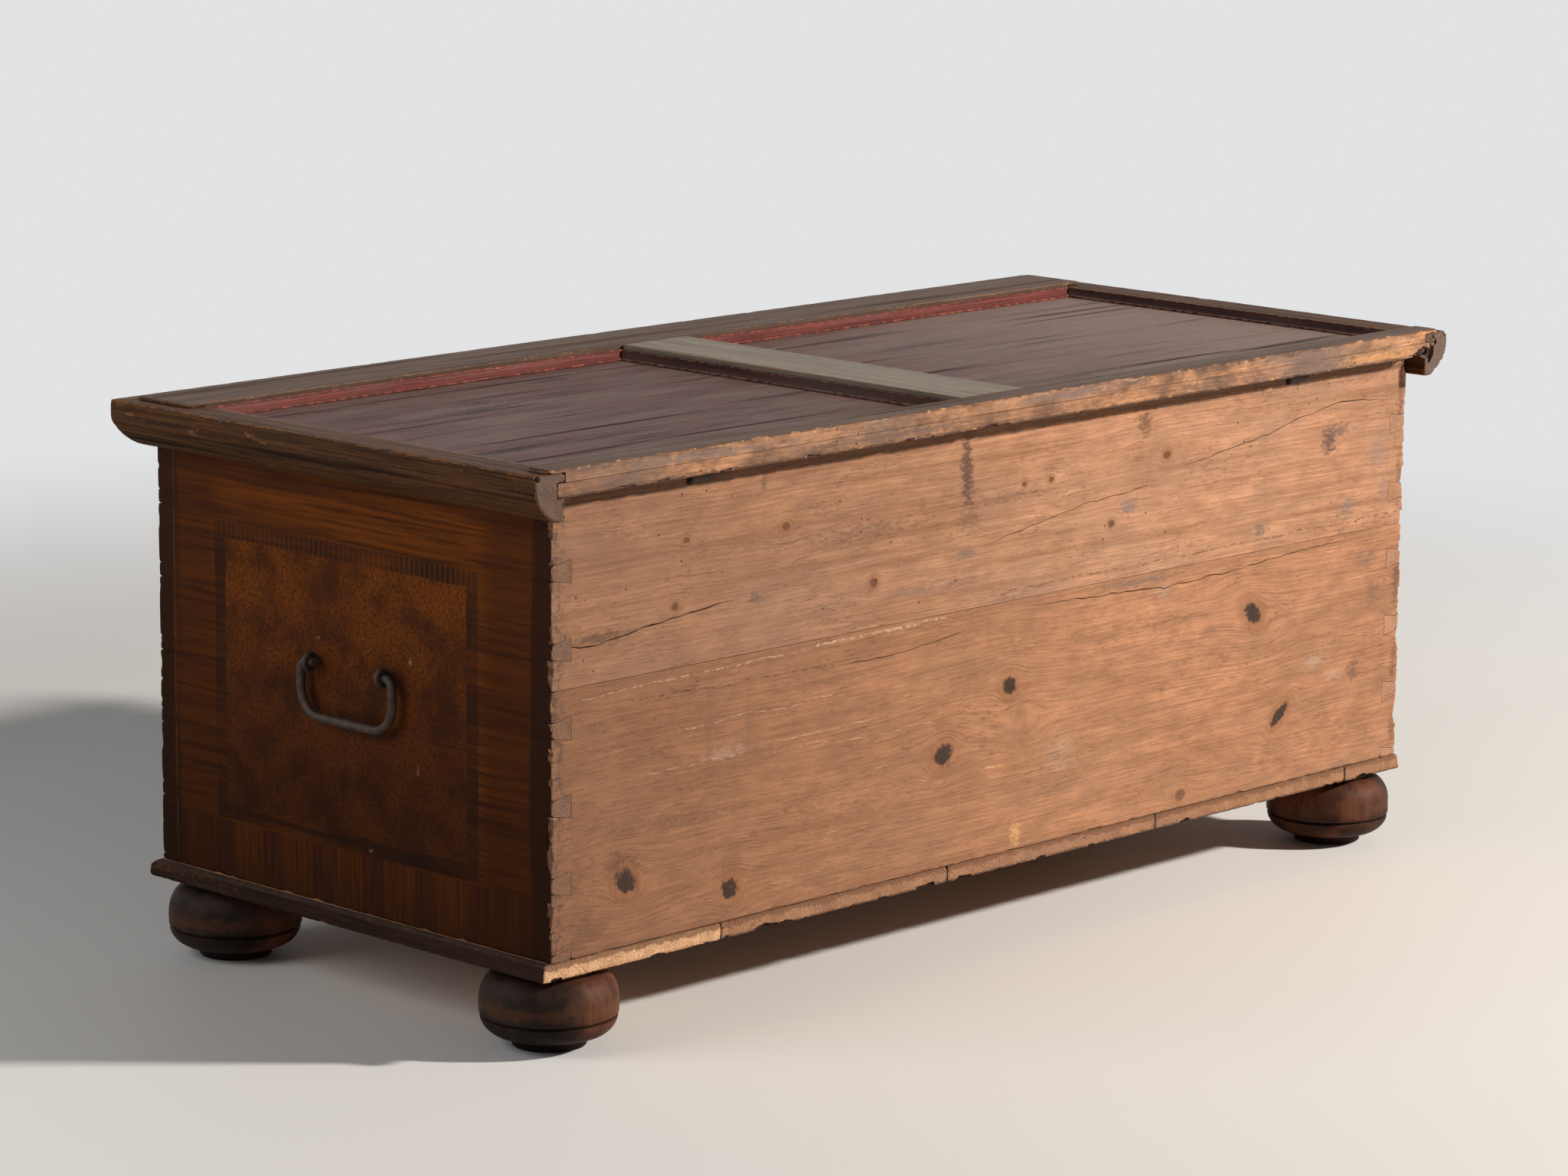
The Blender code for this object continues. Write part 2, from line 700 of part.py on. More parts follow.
def hinge(side, x, mat):
    """Builds one strap hinge: a lid strap, a back strap and the pin that joins them."""
    half = STRAP_W / 2
    knuckle = KNUCKLE_W / 2
    clear = BARREL_R + FIT
    left = x - half
    right = x + half
    lid_loops = [lid_strap_outline(), barrel_hole()]
    lid_strap = prism(side + "_hinge_lid_strap", lid_loops, 'X', left, right)
    for k, sign in enumerate((1, -1)):
        xs = sorted((x + sign * knuckle, x + sign * (half + CUT_OVER)))
        cheek = box(f"{side}_hinge_lid_cheek_{k + 1}", (xs[0], AXIS_Y - clear, AXIS_Z - clear - FIT),
                    (xs[1], AXIS_Y + clear, AXIS_Z + clear + CUT_OVER))
        cut(lid_strap, cheek)
    top = AXIS_Z + BARREL_R
    tip = strap_tip_cutter(side + "_hinge_lid_tip", x, AXIS_Y - LID_STRAP_LEN, 'Z',
                           top - STRAP_T - CUT_OVER, top + CUT_OVER, -1)
    cut(lid_strap, tip)
    seat(lid_strap, mat, LID)

    back_loops = [back_strap_outline(), barrel_hole()]
    back_strap = prism(side + "_hinge_back_strap", back_loops, 'X', left, right)
    gap = knuckle + KNUCKLE_PLAY
    slot = box(side + "_hinge_slot", (x - gap, AXIS_Y - clear, AXIS_Z - clear - CUT_OVER),
               (x + gap, AXIS_Y + clear, AXIS_Z + clear + FIT))
    cut(back_strap, slot)
    skin = FACE_Y - WALL_T - FIT
    foot = AXIS_Z - BARREL_R - BACK_STRAP_LEN
    low_tip = strap_tip_cutter(side + "_hinge_back_tip", x, foot, 'Y',
                               skin - STRAP_T - CUT_OVER, skin + CUT_OVER, -1)
    cut(back_strap, low_tip)
    seat(back_strap, mat)
    pin = cylinder(side + "_hinge_pin", PIN_R, (left, AXIS_Y, AXIS_Z), (right, AXIS_Y, AXIS_Z), BARREL_STEPS)
    seat(pin, mat)


# Handles

def eye_places():
    """Returns where the two eyes of a handle are along Y."""
    return (HANDLE_Y - EYE_SPACING / 2, HANDLE_Y + EYE_SPACING / 2)


def eye(name, sign, y, mat):
    """Builds one eye bolt: a ring that the bail turns in, on a shank driven into the end board."""
    curve = bpy.data.curves.new(name, 'CURVE')
    curve.dimensions = '3D'
    curve.bevel_depth = EYE_WIRE_R
    curve.bevel_resolution = ROD_STEPS
    ring = arc((sign * PIVOT_X, HANDLE_Z), EYE_R, 0, 360, EYE_STEPS)[:-1]
    spline = curve.splines.new('POLY')
    spline.points.add(len(ring) - 1)
    spline.use_cyclic_u = True
    for point, (x, z) in zip(spline.points, ring):
        point.co = (x, y, z, 1.0)
    wire = bpy.data.objects.new(name + "_wire", curve)
    bpy.context.scene.collection.objects.link(wire)
    bpy.context.view_layer.update()
    mesh = bpy.data.meshes.new_from_object(wire.evaluated_get(bpy.context.evaluated_depsgraph_get()))
    bpy.data.objects.remove(wire)
    bpy.data.curves.remove(curve)
    obj = mesh_object(name, mesh)
    shank = cylinder(name + "_shank", SHANK_R, (sign * SHANK_X, y, HANDLE_Z),
                     (sign * (PIVOT_X - EYE_R), y, HANDLE_Z), SHANK_STEPS)
    combine(obj, shank, 'UNION')
    seat(obj, mat)


def bail_route():
    """Returns the middle line of a bail hanging from its pivots, as (along, down) from its centre."""
    turn = EYE_SPACING / 2 + BAIL_SHOULDER
    limb = turn + BAIL_CURL
    low = BAIL_DROP - BAIL_CORNER
    half = [(EYE_SPACING / 2 - BAIL_END, 0.0)]
    half += [(u, -v) for u, v in arc((turn, -BAIL_CURL), BAIL_CURL, 90, 0, BAIL_ARC_STEPS)]
    half += [(u, -v) for u, v in arc((limb - BAIL_CORNER, -low), BAIL_CORNER, 0, -90, BAIL_ARC_STEPS)]
    return half + [(-u, v) for u, v in reversed(half)]


def bail(side, sign, mat):
    """Builds one bail of round iron, with its origin on its pivot axis."""
    curve = bpy.data.curves.new(side + "_bail", 'CURVE')
    curve.dimensions = '3D'
    curve.bevel_depth = BAIL_ROD_R
    curve.bevel_resolution = ROD_STEPS
    curve.use_fill_caps = True
    route = bail_route()
    spline = curve.splines.new('POLY')
    spline.points.add(len(route) - 1)
    for point, (along, down) in zip(spline.points, route):
        point.co = (0.0, along, -down, 1.0)
    obj = bpy.data.objects.new(side + "_bail", curve)
    obj.location = (sign * PIVOT_X, HANDLE_Y, HANDLE_Z)
    pivot = empty(side + "_bail_axis", obj.location)
    seat(obj, mat, pivot)


def main():
    """Builds the whole chest."""
    pine = material("bare_pine", (0.42, 0.22, 0.11), 0.75)
    painted = material("painted_pine", (0.16, 0.06, 0.02), 0.55)
    lid_paint = material("lid_paint", (0.13, 0.07, 0.065), 0.6)
    frame_paint = material("frame_paint", (0.27, 0.24, 0.20), 0.7)
    red_paint = material("red_paint", (0.33, 0.05, 0.035), 0.6)
    maroon = material("maroon_paint", (0.07, 0.02, 0.018), 0.5)
    turned_wood = material("turned_wood", (0.09, 0.035, 0.02), 0.55)
    iron = material("wrought_iron", (0.05, 0.045, 0.04), 0.6, 0.9)

    tailed_wall("back", 1, BACK_JOINT_TAIL, pine, (HINGE_X, -HINGE_X))
    tailed_wall("front", -1, FRONT_JOINT_TAIL, painted)
    bottom_boards(pine)
    feet(turned_wood)
    lid_boards(lid_paint)
    front_moulding(painted)
    battens(frame_paint)
    field_mouldings(red_paint, maroon)
    for side, sign in (("right", 1), ("left", -1)):
        end_wall(side, sign, painted)
        cleat(side, sign, painted)
        hinge(side, sign * HINGE_X, iron)
        for place, y in zip(("front", "back"), eye_places()):
            eye(f"{side}_{place}_eye", sign, y, iron)
        bail(side, sign, iron)


main()
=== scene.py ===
"""Wedding chest: a worn pine case with through dovetails, bun feet, a boarded lid and iron bails.

Metres, +Z up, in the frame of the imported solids. The front faces -Y, the bare back faces +Y, and the
painted ends face +X (right) and -X (left).
"""
from __future__ import annotations

import json
import logging
import math
import random
from dataclasses import dataclass, field, replace
from enum import Enum
from typing import Sequence

import bmesh
import bpy
from mathutils import Matrix, Vector, noise
from mathutils.kdtree import KDTree

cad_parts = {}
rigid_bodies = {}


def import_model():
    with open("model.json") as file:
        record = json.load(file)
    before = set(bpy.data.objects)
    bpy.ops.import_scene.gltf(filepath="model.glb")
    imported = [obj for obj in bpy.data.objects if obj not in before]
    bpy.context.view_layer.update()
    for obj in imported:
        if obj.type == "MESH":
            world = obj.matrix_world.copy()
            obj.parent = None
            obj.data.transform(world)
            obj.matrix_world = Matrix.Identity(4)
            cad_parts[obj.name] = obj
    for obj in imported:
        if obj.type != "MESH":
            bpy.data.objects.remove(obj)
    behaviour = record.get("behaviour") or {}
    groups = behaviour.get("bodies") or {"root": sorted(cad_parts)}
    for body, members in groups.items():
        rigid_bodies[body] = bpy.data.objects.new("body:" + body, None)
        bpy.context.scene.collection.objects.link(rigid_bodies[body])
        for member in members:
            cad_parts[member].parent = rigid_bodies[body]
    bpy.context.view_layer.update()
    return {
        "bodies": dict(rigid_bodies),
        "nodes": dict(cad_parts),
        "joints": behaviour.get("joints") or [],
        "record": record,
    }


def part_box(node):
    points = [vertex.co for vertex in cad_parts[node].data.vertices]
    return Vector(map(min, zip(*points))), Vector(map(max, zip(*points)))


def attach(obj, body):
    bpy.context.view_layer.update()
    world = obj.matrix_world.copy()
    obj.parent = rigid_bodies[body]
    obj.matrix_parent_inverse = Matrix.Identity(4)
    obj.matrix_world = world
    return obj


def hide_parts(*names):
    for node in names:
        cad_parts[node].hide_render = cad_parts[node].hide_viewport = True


log = logging.getLogger("wedding_chest")

Pair = tuple[float, float]
Triple = tuple[float, float, float]
Colour = Triple
Socket = bpy.types.NodeSocket
# How far one mark on a surface moves the next, to keep the marks in order
MARK_HAIR = 1e-9
# Points of a solid, or of a spun shape, that are nearer than this are one point
WELD = 0.00002
SPIN_WELD = 0.00001
# Faces of a solid that meet at less than this are one face
FLAT_ANGLE = math.radians(0.6)
# The distance between the samples of an arris
SAMPLE_PITCH = 0.0025
# A face or an arris nearer than this to the outside of the chest is part of it
TOUCH = 0.0015


class Side(Enum):
    """The way a face of a piece looks, as an axis and a sign."""

    RIGHT = (0, 1)
    LEFT = (0, -1)
    BACK = (1, 1)
    FRONT = (1, -1)
    TOP = (2, 1)
    UNDER = (2, -1)

    @classmethod
    def of(cls, normal: Vector) -> Side:
        """Names the side that a normal looks to most.

        Args:
            normal: a face's normal.

        Returns:
            The side.
        """
        axis = max(range(3), key=lambda k: abs(normal[k]))
        return cls((axis, 1 if normal[axis] > 0 else -1))


class Grain(Enum):
    """How a board lies: the axes along its grain, across its width and through its thickness."""

    LONG_UPRIGHT = "XZY"
    LONG_FLAT = "XYZ"
    DEEP_UPRIGHT = "YZX"
    DEEP_FLAT = "YXZ"
    STANDING = "ZXY"


class Effect(Enum):
    """The effects that several finishes share, each one node group."""

    BOARD_GRAIN = "board_grain"
    KNOT = "pine_knot"
    SMUDGE = "smudge"
    STROKE = "stroke"
    EDGE_WEAR = "edge_wear"
    STREAKS = "paint_streaks"
    WORM = "worm_holes"


class Sketch:
    """Writes nodes into one shader tree in short lines."""

    def __init__(self, tree: bpy.types.NodeTree) -> None:
        """Keeps the tree to write into."""
        self.tree = tree

    def feed(self, socket: Socket, value: object) -> None:
        """Links a socket into an input, or sets the input's own value.

        Args:
            socket: the input to feed.
            value: a socket, a number, or a sequence of numbers.
        """
        if isinstance(value, bpy.types.NodeSocket):
            self.tree.links.new(value, socket)
        elif socket.type == "RGBA" and len(value) == 3:
            socket.default_value = (*value, 1.0)
        else:
            socket.default_value = value

    def add(self, kind: str, sockets: dict | None = None, **settings: object) -> bpy.types.Node:
        """Adds a node.

        Args:
            kind: the node's type, without the leading ShaderNode.
            sockets: values or links for its inputs, by name or index.
            settings: the node's own properties.

        Returns:
            The node.
        """
        node = self.tree.nodes.new("ShaderNode" + kind)
        for name, value in settings.items():
            setattr(node, name, value)
        for key, value in (sockets or {}).items():
            self.feed(node.inputs[key], value)
        return node

    def calc(self, operation: str, *values: object, clamp: bool = False) -> Socket:
        """Adds a math node.

        Args:
            operation: the operation's name.
            values: its inputs, in order.
            clamp: whether the result stays between 0 and 1.

        Returns:
            The result.
        """
        node = self.add("Math", dict(enumerate(values)), operation=operation, use_clamp=clamp)
        return node.outputs[0]

    def times(self, first: object, second: object) -> Socket:
        """Returns a product."""
        return self.calc("MULTIPLY", first, second)

    def plus(self, first: object, second: object, clamp: bool = False) -> Socket:
        """Returns a sum."""
        return self.calc("ADD", first, second, clamp=clamp)

    def minus(self, first: object, second: object, clamp: bool = False) -> Socket:
        """Returns a difference."""
        return self.calc("SUBTRACT", first, second, clamp=clamp)

    def inverse(self, value: Socket) -> Socket:
        """Returns what a value leaves of 1."""
        return self.calc("SUBTRACT", 1.0, value)

    def scaled(self, value: Socket, scale: object, start: object) -> Socket:
        """Returns a value times a scale, plus a start."""
        return self.calc("MULTIPLY_ADD", value, scale, start)

    def length(self, first: Socket, second: Socket) -> Socket:
        """Returns the length of a flat vector, given its two parts."""
        return self.calc("SQRT", self.plus(self.times(first, first), self.times(second, second)))

    def step(self, value: Socket, low: object, high: object) -> Socket:
        """Returns a smooth rise from 0 at low to 1 at high."""
        node = self.add("MapRange", {"Value": value, "From Min": low, "From Max": high},
                        interpolation_type="SMOOTHSTEP")
        return node.outputs["Result"]

    def spread(self, value: Socket, low: float, high: float) -> Socket:
        """Returns a value from 0 to 1 laid out between two numbers."""
        node = self.add("MapRange", {"Value": value, "To Min": low, "To Max": high})
        return node.outputs["Result"]

    def point(self, x: object, y: object, z: object) -> Socket:
        """Returns a vector made of three values."""
        return self.add("CombineXYZ", {0: x, 1: y, 2: z}).outputs[0]

    def stretch(self, lie: tuple[Socket, Socket, Socket], scales: Triple,
                seed: object = 0.0, shift: float = 0.0) -> Socket:
        """Stretches the place on a board, for a pattern that follows its grain.

        Args:
            lie: the place along, across and through the grain.
            scales: how often the pattern repeats each way.
            seed: where it starts along the grain.
            shift: where it starts through the board.

        Returns:
            The stretched coordinates.
        """
        along, across, depth = lie
        return self.point(self.scaled(along, scales[0], seed), self.times(across, scales[1]),
                          self.scaled(depth, scales[2], shift))

    def noise(self, place: Socket, scale: object, detail: float = 2.0, rough: float = 0.5) -> Socket:
        """Returns soft noise from 0 to 1.

        Args:
            place: the coordinates.
            scale: cells in a metre.
            detail: octaves.
            rough: the weight of the finer octaves.

        Returns:
            The noise.
        """
        node = self.add("TexNoise", {"Vector": place, "Scale": scale, "Detail": detail, "Roughness": rough})
        return node.outputs["Fac"]

    def blend(self, share: object, first: object, second: object, mode: str = "MIX") -> Socket:
        """Returns two colours mixed, the second by its share."""
        node = self.add("Mix", {0: share, 6: first, 7: second}, data_type="RGBA", blend_type=mode)
        return node.outputs[2]

    def stain(self, colour: object, tint: object, mask: Socket, share: object) -> Socket:
        """Returns a colour with a tint over it, by a share of a mask."""
        return self.blend(self.times(mask, share), colour, tint)

    def dim(self, colour: Socket, factor: Socket) -> Socket:
        """Returns a colour made darker or lighter by a factor."""
        grey = self.add("CombineColor", {0: factor, 1: factor, 2: factor}).outputs[0]
        return self.blend(1.0, colour, grey, "MULTIPLY")

    def attribute(self, name: str) -> Socket:
        """Returns a value that the mesh carries at its points."""
        return self.add("Attribute", attribute_name=name).outputs["Fac"]


class Effects:
    """The node groups that several finishes share, each built once."""

    def __init__(self) -> None:
        """Starts with no groups."""
        self.trees: dict[Effect, bpy.types.NodeTree] = {}

    def place(self, sketch: Sketch, effect: Effect, sockets: dict) -> bpy.types.Node:
        """Places a group in a material.

        Args:
            sketch: the material's nodes.
            effect: which group.
            sockets: its own values in this material.

        Returns:
            The group's node.
        """
        if effect not in self.trees:
            builders = {
                Effect.BOARD_GRAIN: self.board_grain,
                Effect.KNOT: self.knot,
                Effect.SMUDGE: self.smudge,
                Effect.STROKE: self.stroke,
                Effect.EDGE_WEAR: self.edge_wear,
                Effect.STREAKS: self.streaks,
                Effect.WORM: self.worm,
            }
            self.trees[effect] = builders[effect]()
        return sketch.add("Group", sockets, node_tree=self.trees[effect])

    @staticmethod
    def start(effect: Effect, inputs: Sequence[str],
              outputs: Sequence[str]) -> tuple[Sketch, Sequence, Sequence]:
        """Starts a group of float sockets; an input named Point is a vector.

        Args:
            effect: which group.
            inputs: names of its inputs.
            outputs: names of its outputs.

        Returns:
            The group's sketch, the sockets that bring its inputs, and those that take its outputs.
        """
        tree = bpy.data.node_groups.new(effect.value, "ShaderNodeTree")
        for socket in inputs:
            kind = "NodeSocketVector" if socket == "Point" else "NodeSocketFloat"
            tree.interface.new_socket(name=socket, in_out="INPUT", socket_type=kind)
        for socket in outputs:
            tree.interface.new_socket(name=socket, in_out="OUTPUT", socket_type="NodeSocketFloat")
        source = tree.nodes.new("NodeGroupInput")
        target = tree.nodes.new("NodeGroupOutput")
        return Sketch(tree), source.outputs, target.inputs

    def board_grain(self) -> bpy.types.NodeTree:
        """Builds growth rings round a pith line, with fibres along the grain.

        Returns:
            The group's tree.
        """
        s, i, o = self.start(
            Effect.BOARD_GRAIN,
            ("Along", "Across", "Depth", "Pith Across", "Pith Depth", "Ring", "Bend", "Seed"),
            ("Rings", "Fibre", "Cloud", "Fleck", "Scuff", "Check"))
        slow = s.point(s.scaled(i["Along"], 1.3, i["Seed"]), s.times(i["Across"], 2.6), i["Seed"])
        sway = s.noise(slow, 1.0, 2.0)
        lean = s.noise(slow, 2.3, 1.0)
        a = s.minus(i["Across"], i["Pith Across"])
        a = s.plus(a, i["Bend"])
        a = s.plus(a, s.spread(sway, -0.045, 0.045))
        d = s.minus(i["Depth"], i["Pith Depth"])
        d = s.plus(d, s.spread(lean, -0.012, 0.012))
        radius = s.length(a, d)
        count = s.calc("DIVIDE", radius, i["Ring"])
        uneven = s.noise(s.point(count, s.times(i["Along"], 0.7), i["Seed"]), 0.45, 2.0)
        count = s.plus(count, s.spread(uneven, -1.3, 1.3))
        part = s.calc("FRACT", count)
        late = s.times(s.step(part, 0.25, 0.9), s.inverse(s.step(part, 0.9, 1.0)))
        heavy = s.add("TexWhiteNoise", {"W": s.calc("FLOOR", count)},
                      noise_dimensions="1D").outputs["Value"]
        s.feed(o["Rings"], s.times(late, s.spread(heavy, 0.25, 1.0)))
        bent = s.plus(i["Across"], i["Bend"])
        lie = (i["Along"], bent, i["Depth"])
        fibre = s.stretch(lie, (17.0, 330.0, 330.0))
        s.feed(o["Fibre"], s.step(s.noise(fibre, 1.0, 4.0, 0.65), 0.25, 0.75))
        s.feed(o["Cloud"], s.noise(s.stretch(lie, (5.0, 22.0, 1.0), i["Seed"]), 1.0, 3.0, 0.55))
        short = s.stretch(lie, (76.0, 340.0, 340.0), i["Seed"])
        patchy = s.step(s.noise(slow, 7.0, 3.0, 0.6), 0.30, 0.66)
        s.feed(o["Fleck"], s.times(s.step(s.noise(short, 1.0, 5.0, 0.74), 0.53, 0.66), patchy))
        thin = s.stretch(lie, (42.0, 400.0, 400.0), i["Seed"], 7.0)
        away = s.minus(1.15, patchy, clamp=True)
        s.feed(o["Scuff"], s.times(s.step(s.noise(thin, 1.0, 3.0, 0.65), 0.58, 0.74), away))
        split = s.stretch(lie, (8.0, 290.0, 290.0), i["Seed"], 19.0)
        gathered = s.step(s.noise(slow, 4.1, 3.0, 0.6), 0.42, 0.68)
        s.feed(o["Check"], s.times(s.step(s.noise(split, 1.0, 2.0, 0.5), 0.63, 0.72), gathered))
        return s.tree

    def worm(self) -> bpy.types.NodeTree:
        """Builds scattered worm holes that gather in places.

        Returns:
            The group's tree.
        """
        s, i, o = self.start(Effect.WORM, ("Point", "Share"), ("Hole",))
        cells = s.add("TexVoronoi", {"Vector": i["Point"], "Scale": 92.0, "Randomness": 1.0})
        dot = s.inverse(s.step(cells.outputs["Distance"], 0.085, 0.13))
        chance = s.add("SeparateColor", {0: cells.outputs["Color"]}).outputs[0]
        some = s.step(chance, s.inverse(i["Share"]), s.minus(1.02, i["Share"]))
        area = s.step(s.noise(i["Point"], 9.0), 0.48, 0.56)
        s.feed(o["Hole"], s.times(dot, s.times(some, area)))
        return s.tree

    def knot(self) -> bpy.types.NodeTree:
        """Builds one knot that bends the grain round itself and adds to the knots before it.

        Returns:
            The group's tree.
        """
        s, i, o = self.start(
            Effect.KNOT,
            ("Along", "Across", "At Along", "At Across", "Radius", "Stretch", "Slant", "Dark",
             "Bend", "Heart", "Halo"), ("Bend", "Heart", "Halo"))
        along = s.minus(i["Along"], i["At Along"])
        across = s.minus(i["Across"], i["At Across"])
        level = s.scaled(along, i["Slant"], across)
        dx = s.calc("DIVIDE", along, i["Stretch"])
        gap = s.length(dx, level)
        reach = s.calc("DIVIDE", s.times(i["Radius"], 1.45), s.calc("MAXIMUM", gap, 0.0001))
        push = s.calc("MINIMUM", s.times(reach, reach), 1.0)
        s.feed(o["Bend"], s.minus(i["Bend"], s.times(level, push)))
        rag = s.noise(s.point(along, across, i["At Along"]), 260.0, 2.0)
        ragged = s.scaled(s.spread(rag, -0.45, 0.45), i["Radius"], gap)
        heart = s.inverse(s.step(ragged, s.times(i["Radius"], 0.72), s.times(i["Radius"], 1.08)))
        s.feed(o["Heart"], s.calc("MAXIMUM", i["Heart"], s.times(heart, i["Dark"])))
        halo = s.inverse(s.step(ragged, s.times(i["Radius"], 0.8), s.times(i["Radius"], 2.4)))
        s.feed(o["Halo"], s.calc("MAXIMUM", i["Halo"], s.times(halo, i["Dark"])))
        return s.tree

    def smudge(self) -> bpy.types.NodeTree:
        """Builds a soft ragged spot.

        Returns:
            The group's tree.
        """
        s, i, o = self.start(
            Effect.SMUDGE,
            ("Along", "Across", "At Along", "At Across", "Reach Along", "Reach Across"), ("Mask",))
        a = s.minus(i["Along"], i["At Along"])
        c = s.minus(i["Across"], i["At Across"])
        u = s.calc("DIVIDE", a, i["Reach Along"])
        v = s.calc("DIVIDE", c, i["Reach Across"])
        gap = s.length(u, v)
        rag = s.noise(s.point(s.times(i["Along"], 0.5), i["Across"], i["At Along"]), 240.0, 4.0, 0.65)
        gap = s.plus(gap, s.spread(rag, -1.7, 1.7))
        grit = s.noise(s.point(i["Along"], i["Across"], i["At Across"]), 420.0, 4.0, 0.7)
        s.feed(o["Mask"], s.times(s.inverse(s.step(gap, 0.2, 1.15)), s.step(grit, 0.26, 0.50)))
        return s.tree

    def stroke(self) -> bpy.types.NodeTree:
        """Builds a broken line between two places.

        Returns:
            The group's tree.
        """
        s, i, o = self.start(
            Effect.STROKE,
            ("Along", "Across", "From Along", "From Across", "To Along", "To Across", "Width"), ("Mask",))
        ax = s.minus(i["Along"], i["From Along"])
        ay = s.minus(i["Across"], i["From Across"])
        bx = s.minus(i["To Along"], i["From Along"])
        by = s.minus(i["To Across"], i["From Across"])
        dot = s.plus(s.times(ax, bx), s.times(ay, by))
        size = s.plus(s.times(bx, bx), s.times(by, by))
        run = s.calc("DIVIDE", dot, size, clamp=True)
        wave = s.spread(s.noise(s.point(i["Along"], i["Across"], i["Width"]), 22.0, 3.0), -0.006, 0.006)
        ex = s.minus(ax, s.times(run, bx))
        ey = s.plus(s.minus(ay, s.times(run, by)), wave)
        gap = s.length(ex, ey)
        line = s.inverse(s.step(gap, s.times(i["Width"], 0.25), i["Width"]))
        breaks = s.step(s.noise(s.point(i["Along"], i["Across"], 3.0), 120.0, 4.0, 0.65), 0.42, 0.62)
        s.feed(o["Mask"], s.times(line, breaks))
        return s.tree

    def edge_wear(self) -> bpy.types.NodeTree:
        """Builds the bare patches that rubbing leaves along an arris.

        Returns:
            The group's tree.
        """
        s, i, o = self.start(Effect.EDGE_WEAR, ("Point", "Edge", "Amount", "Scale"), ("Mask", "Rub"))
        level = s.plus(i["Edge"], s.spread(s.noise(i["Point"], i["Scale"], 5.0, 0.65), -0.75, 0.75))
        low = s.inverse(i["Amount"])
        s.feed(o["Mask"], s.step(level, low, s.plus(low, 0.12)))
        s.feed(o["Rub"], s.step(level, s.minus(low, 0.45), s.plus(low, 0.1)))
        return s.tree

    def streaks(self) -> bpy.types.NodeTree:
        """Builds the streaks, pores and clouds of old paint brushed along a board.

        Returns:
            The group's tree.
        """
        s, i, o = self.start(
            Effect.STREAKS, ("Along", "Across", "Depth", "Seed"), ("Streak", "Line", "Cloud", "Pit"))
        lie = (i["Along"], i["Across"], i["Depth"])
        fine, wide, cloud, pit = (s.stretch(lie, scales, i["Seed"]) for scales in (
            (7.0, 330.0, 330.0), (2.2, 75.0, 75.0), (0.5, 2.4, 1.0), (0.35, 1.0, 1.0)))
        s.feed(o["Streak"], s.noise(fine, 1.0, 4.0, 0.6))
        s.feed(o["Line"], s.step(s.noise(wide, 1.0, 3.0, 0.55), 0.55, 0.72))
        s.feed(o["Cloud"], s.noise(cloud, 11.0, 5.0, 0.62))
        s.feed(o["Pit"], s.step(s.noise(pit, 310.0, 3.0, 0.6), 0.6, 0.72))
        return s.tree


@dataclass(frozen=True)
class Knot:
    """A knot in a board, by its place along and across the grain."""

    along: float
    across: float
    radius: float
    stretch: float = 1.25
    slant: float = 0.0
    dark: float = 1.0


@dataclass(frozen=True)
class Smudge:
    """A soft spot of another colour on a surface."""

    along: float
    across: float
    reach_along: float
    reach_across: float
    tint: Colour
    strength: float
    effect = Effect.SMUDGE

    def sockets(self) -> dict[str, float]:
        """Returns the values of its node group."""
        return {"At Along": self.along, "At Across": self.across,
                "Reach Along": self.reach_along, "Reach Across": self.reach_across}


@dataclass(frozen=True)
class Stroke:
    """A scratch or thin line on a surface."""

    start: Pair
    stop: Pair
    width: float
    tint: Colour
    strength: float
    effect = Effect.STROKE

    def sockets(self) -> dict[str, float]:
        """Returns the values of its node group."""
        return {"From Along": self.start[0], "From Across": self.start[1],
                "To Along": self.stop[0], "To Across": self.stop[1], "Width": self.width}


@dataclass
class Look:
    """What a finish puts on its surface: colour, roughness and relief."""

    colour: Socket
    roughness: Socket
    height: Socket
    relief: float


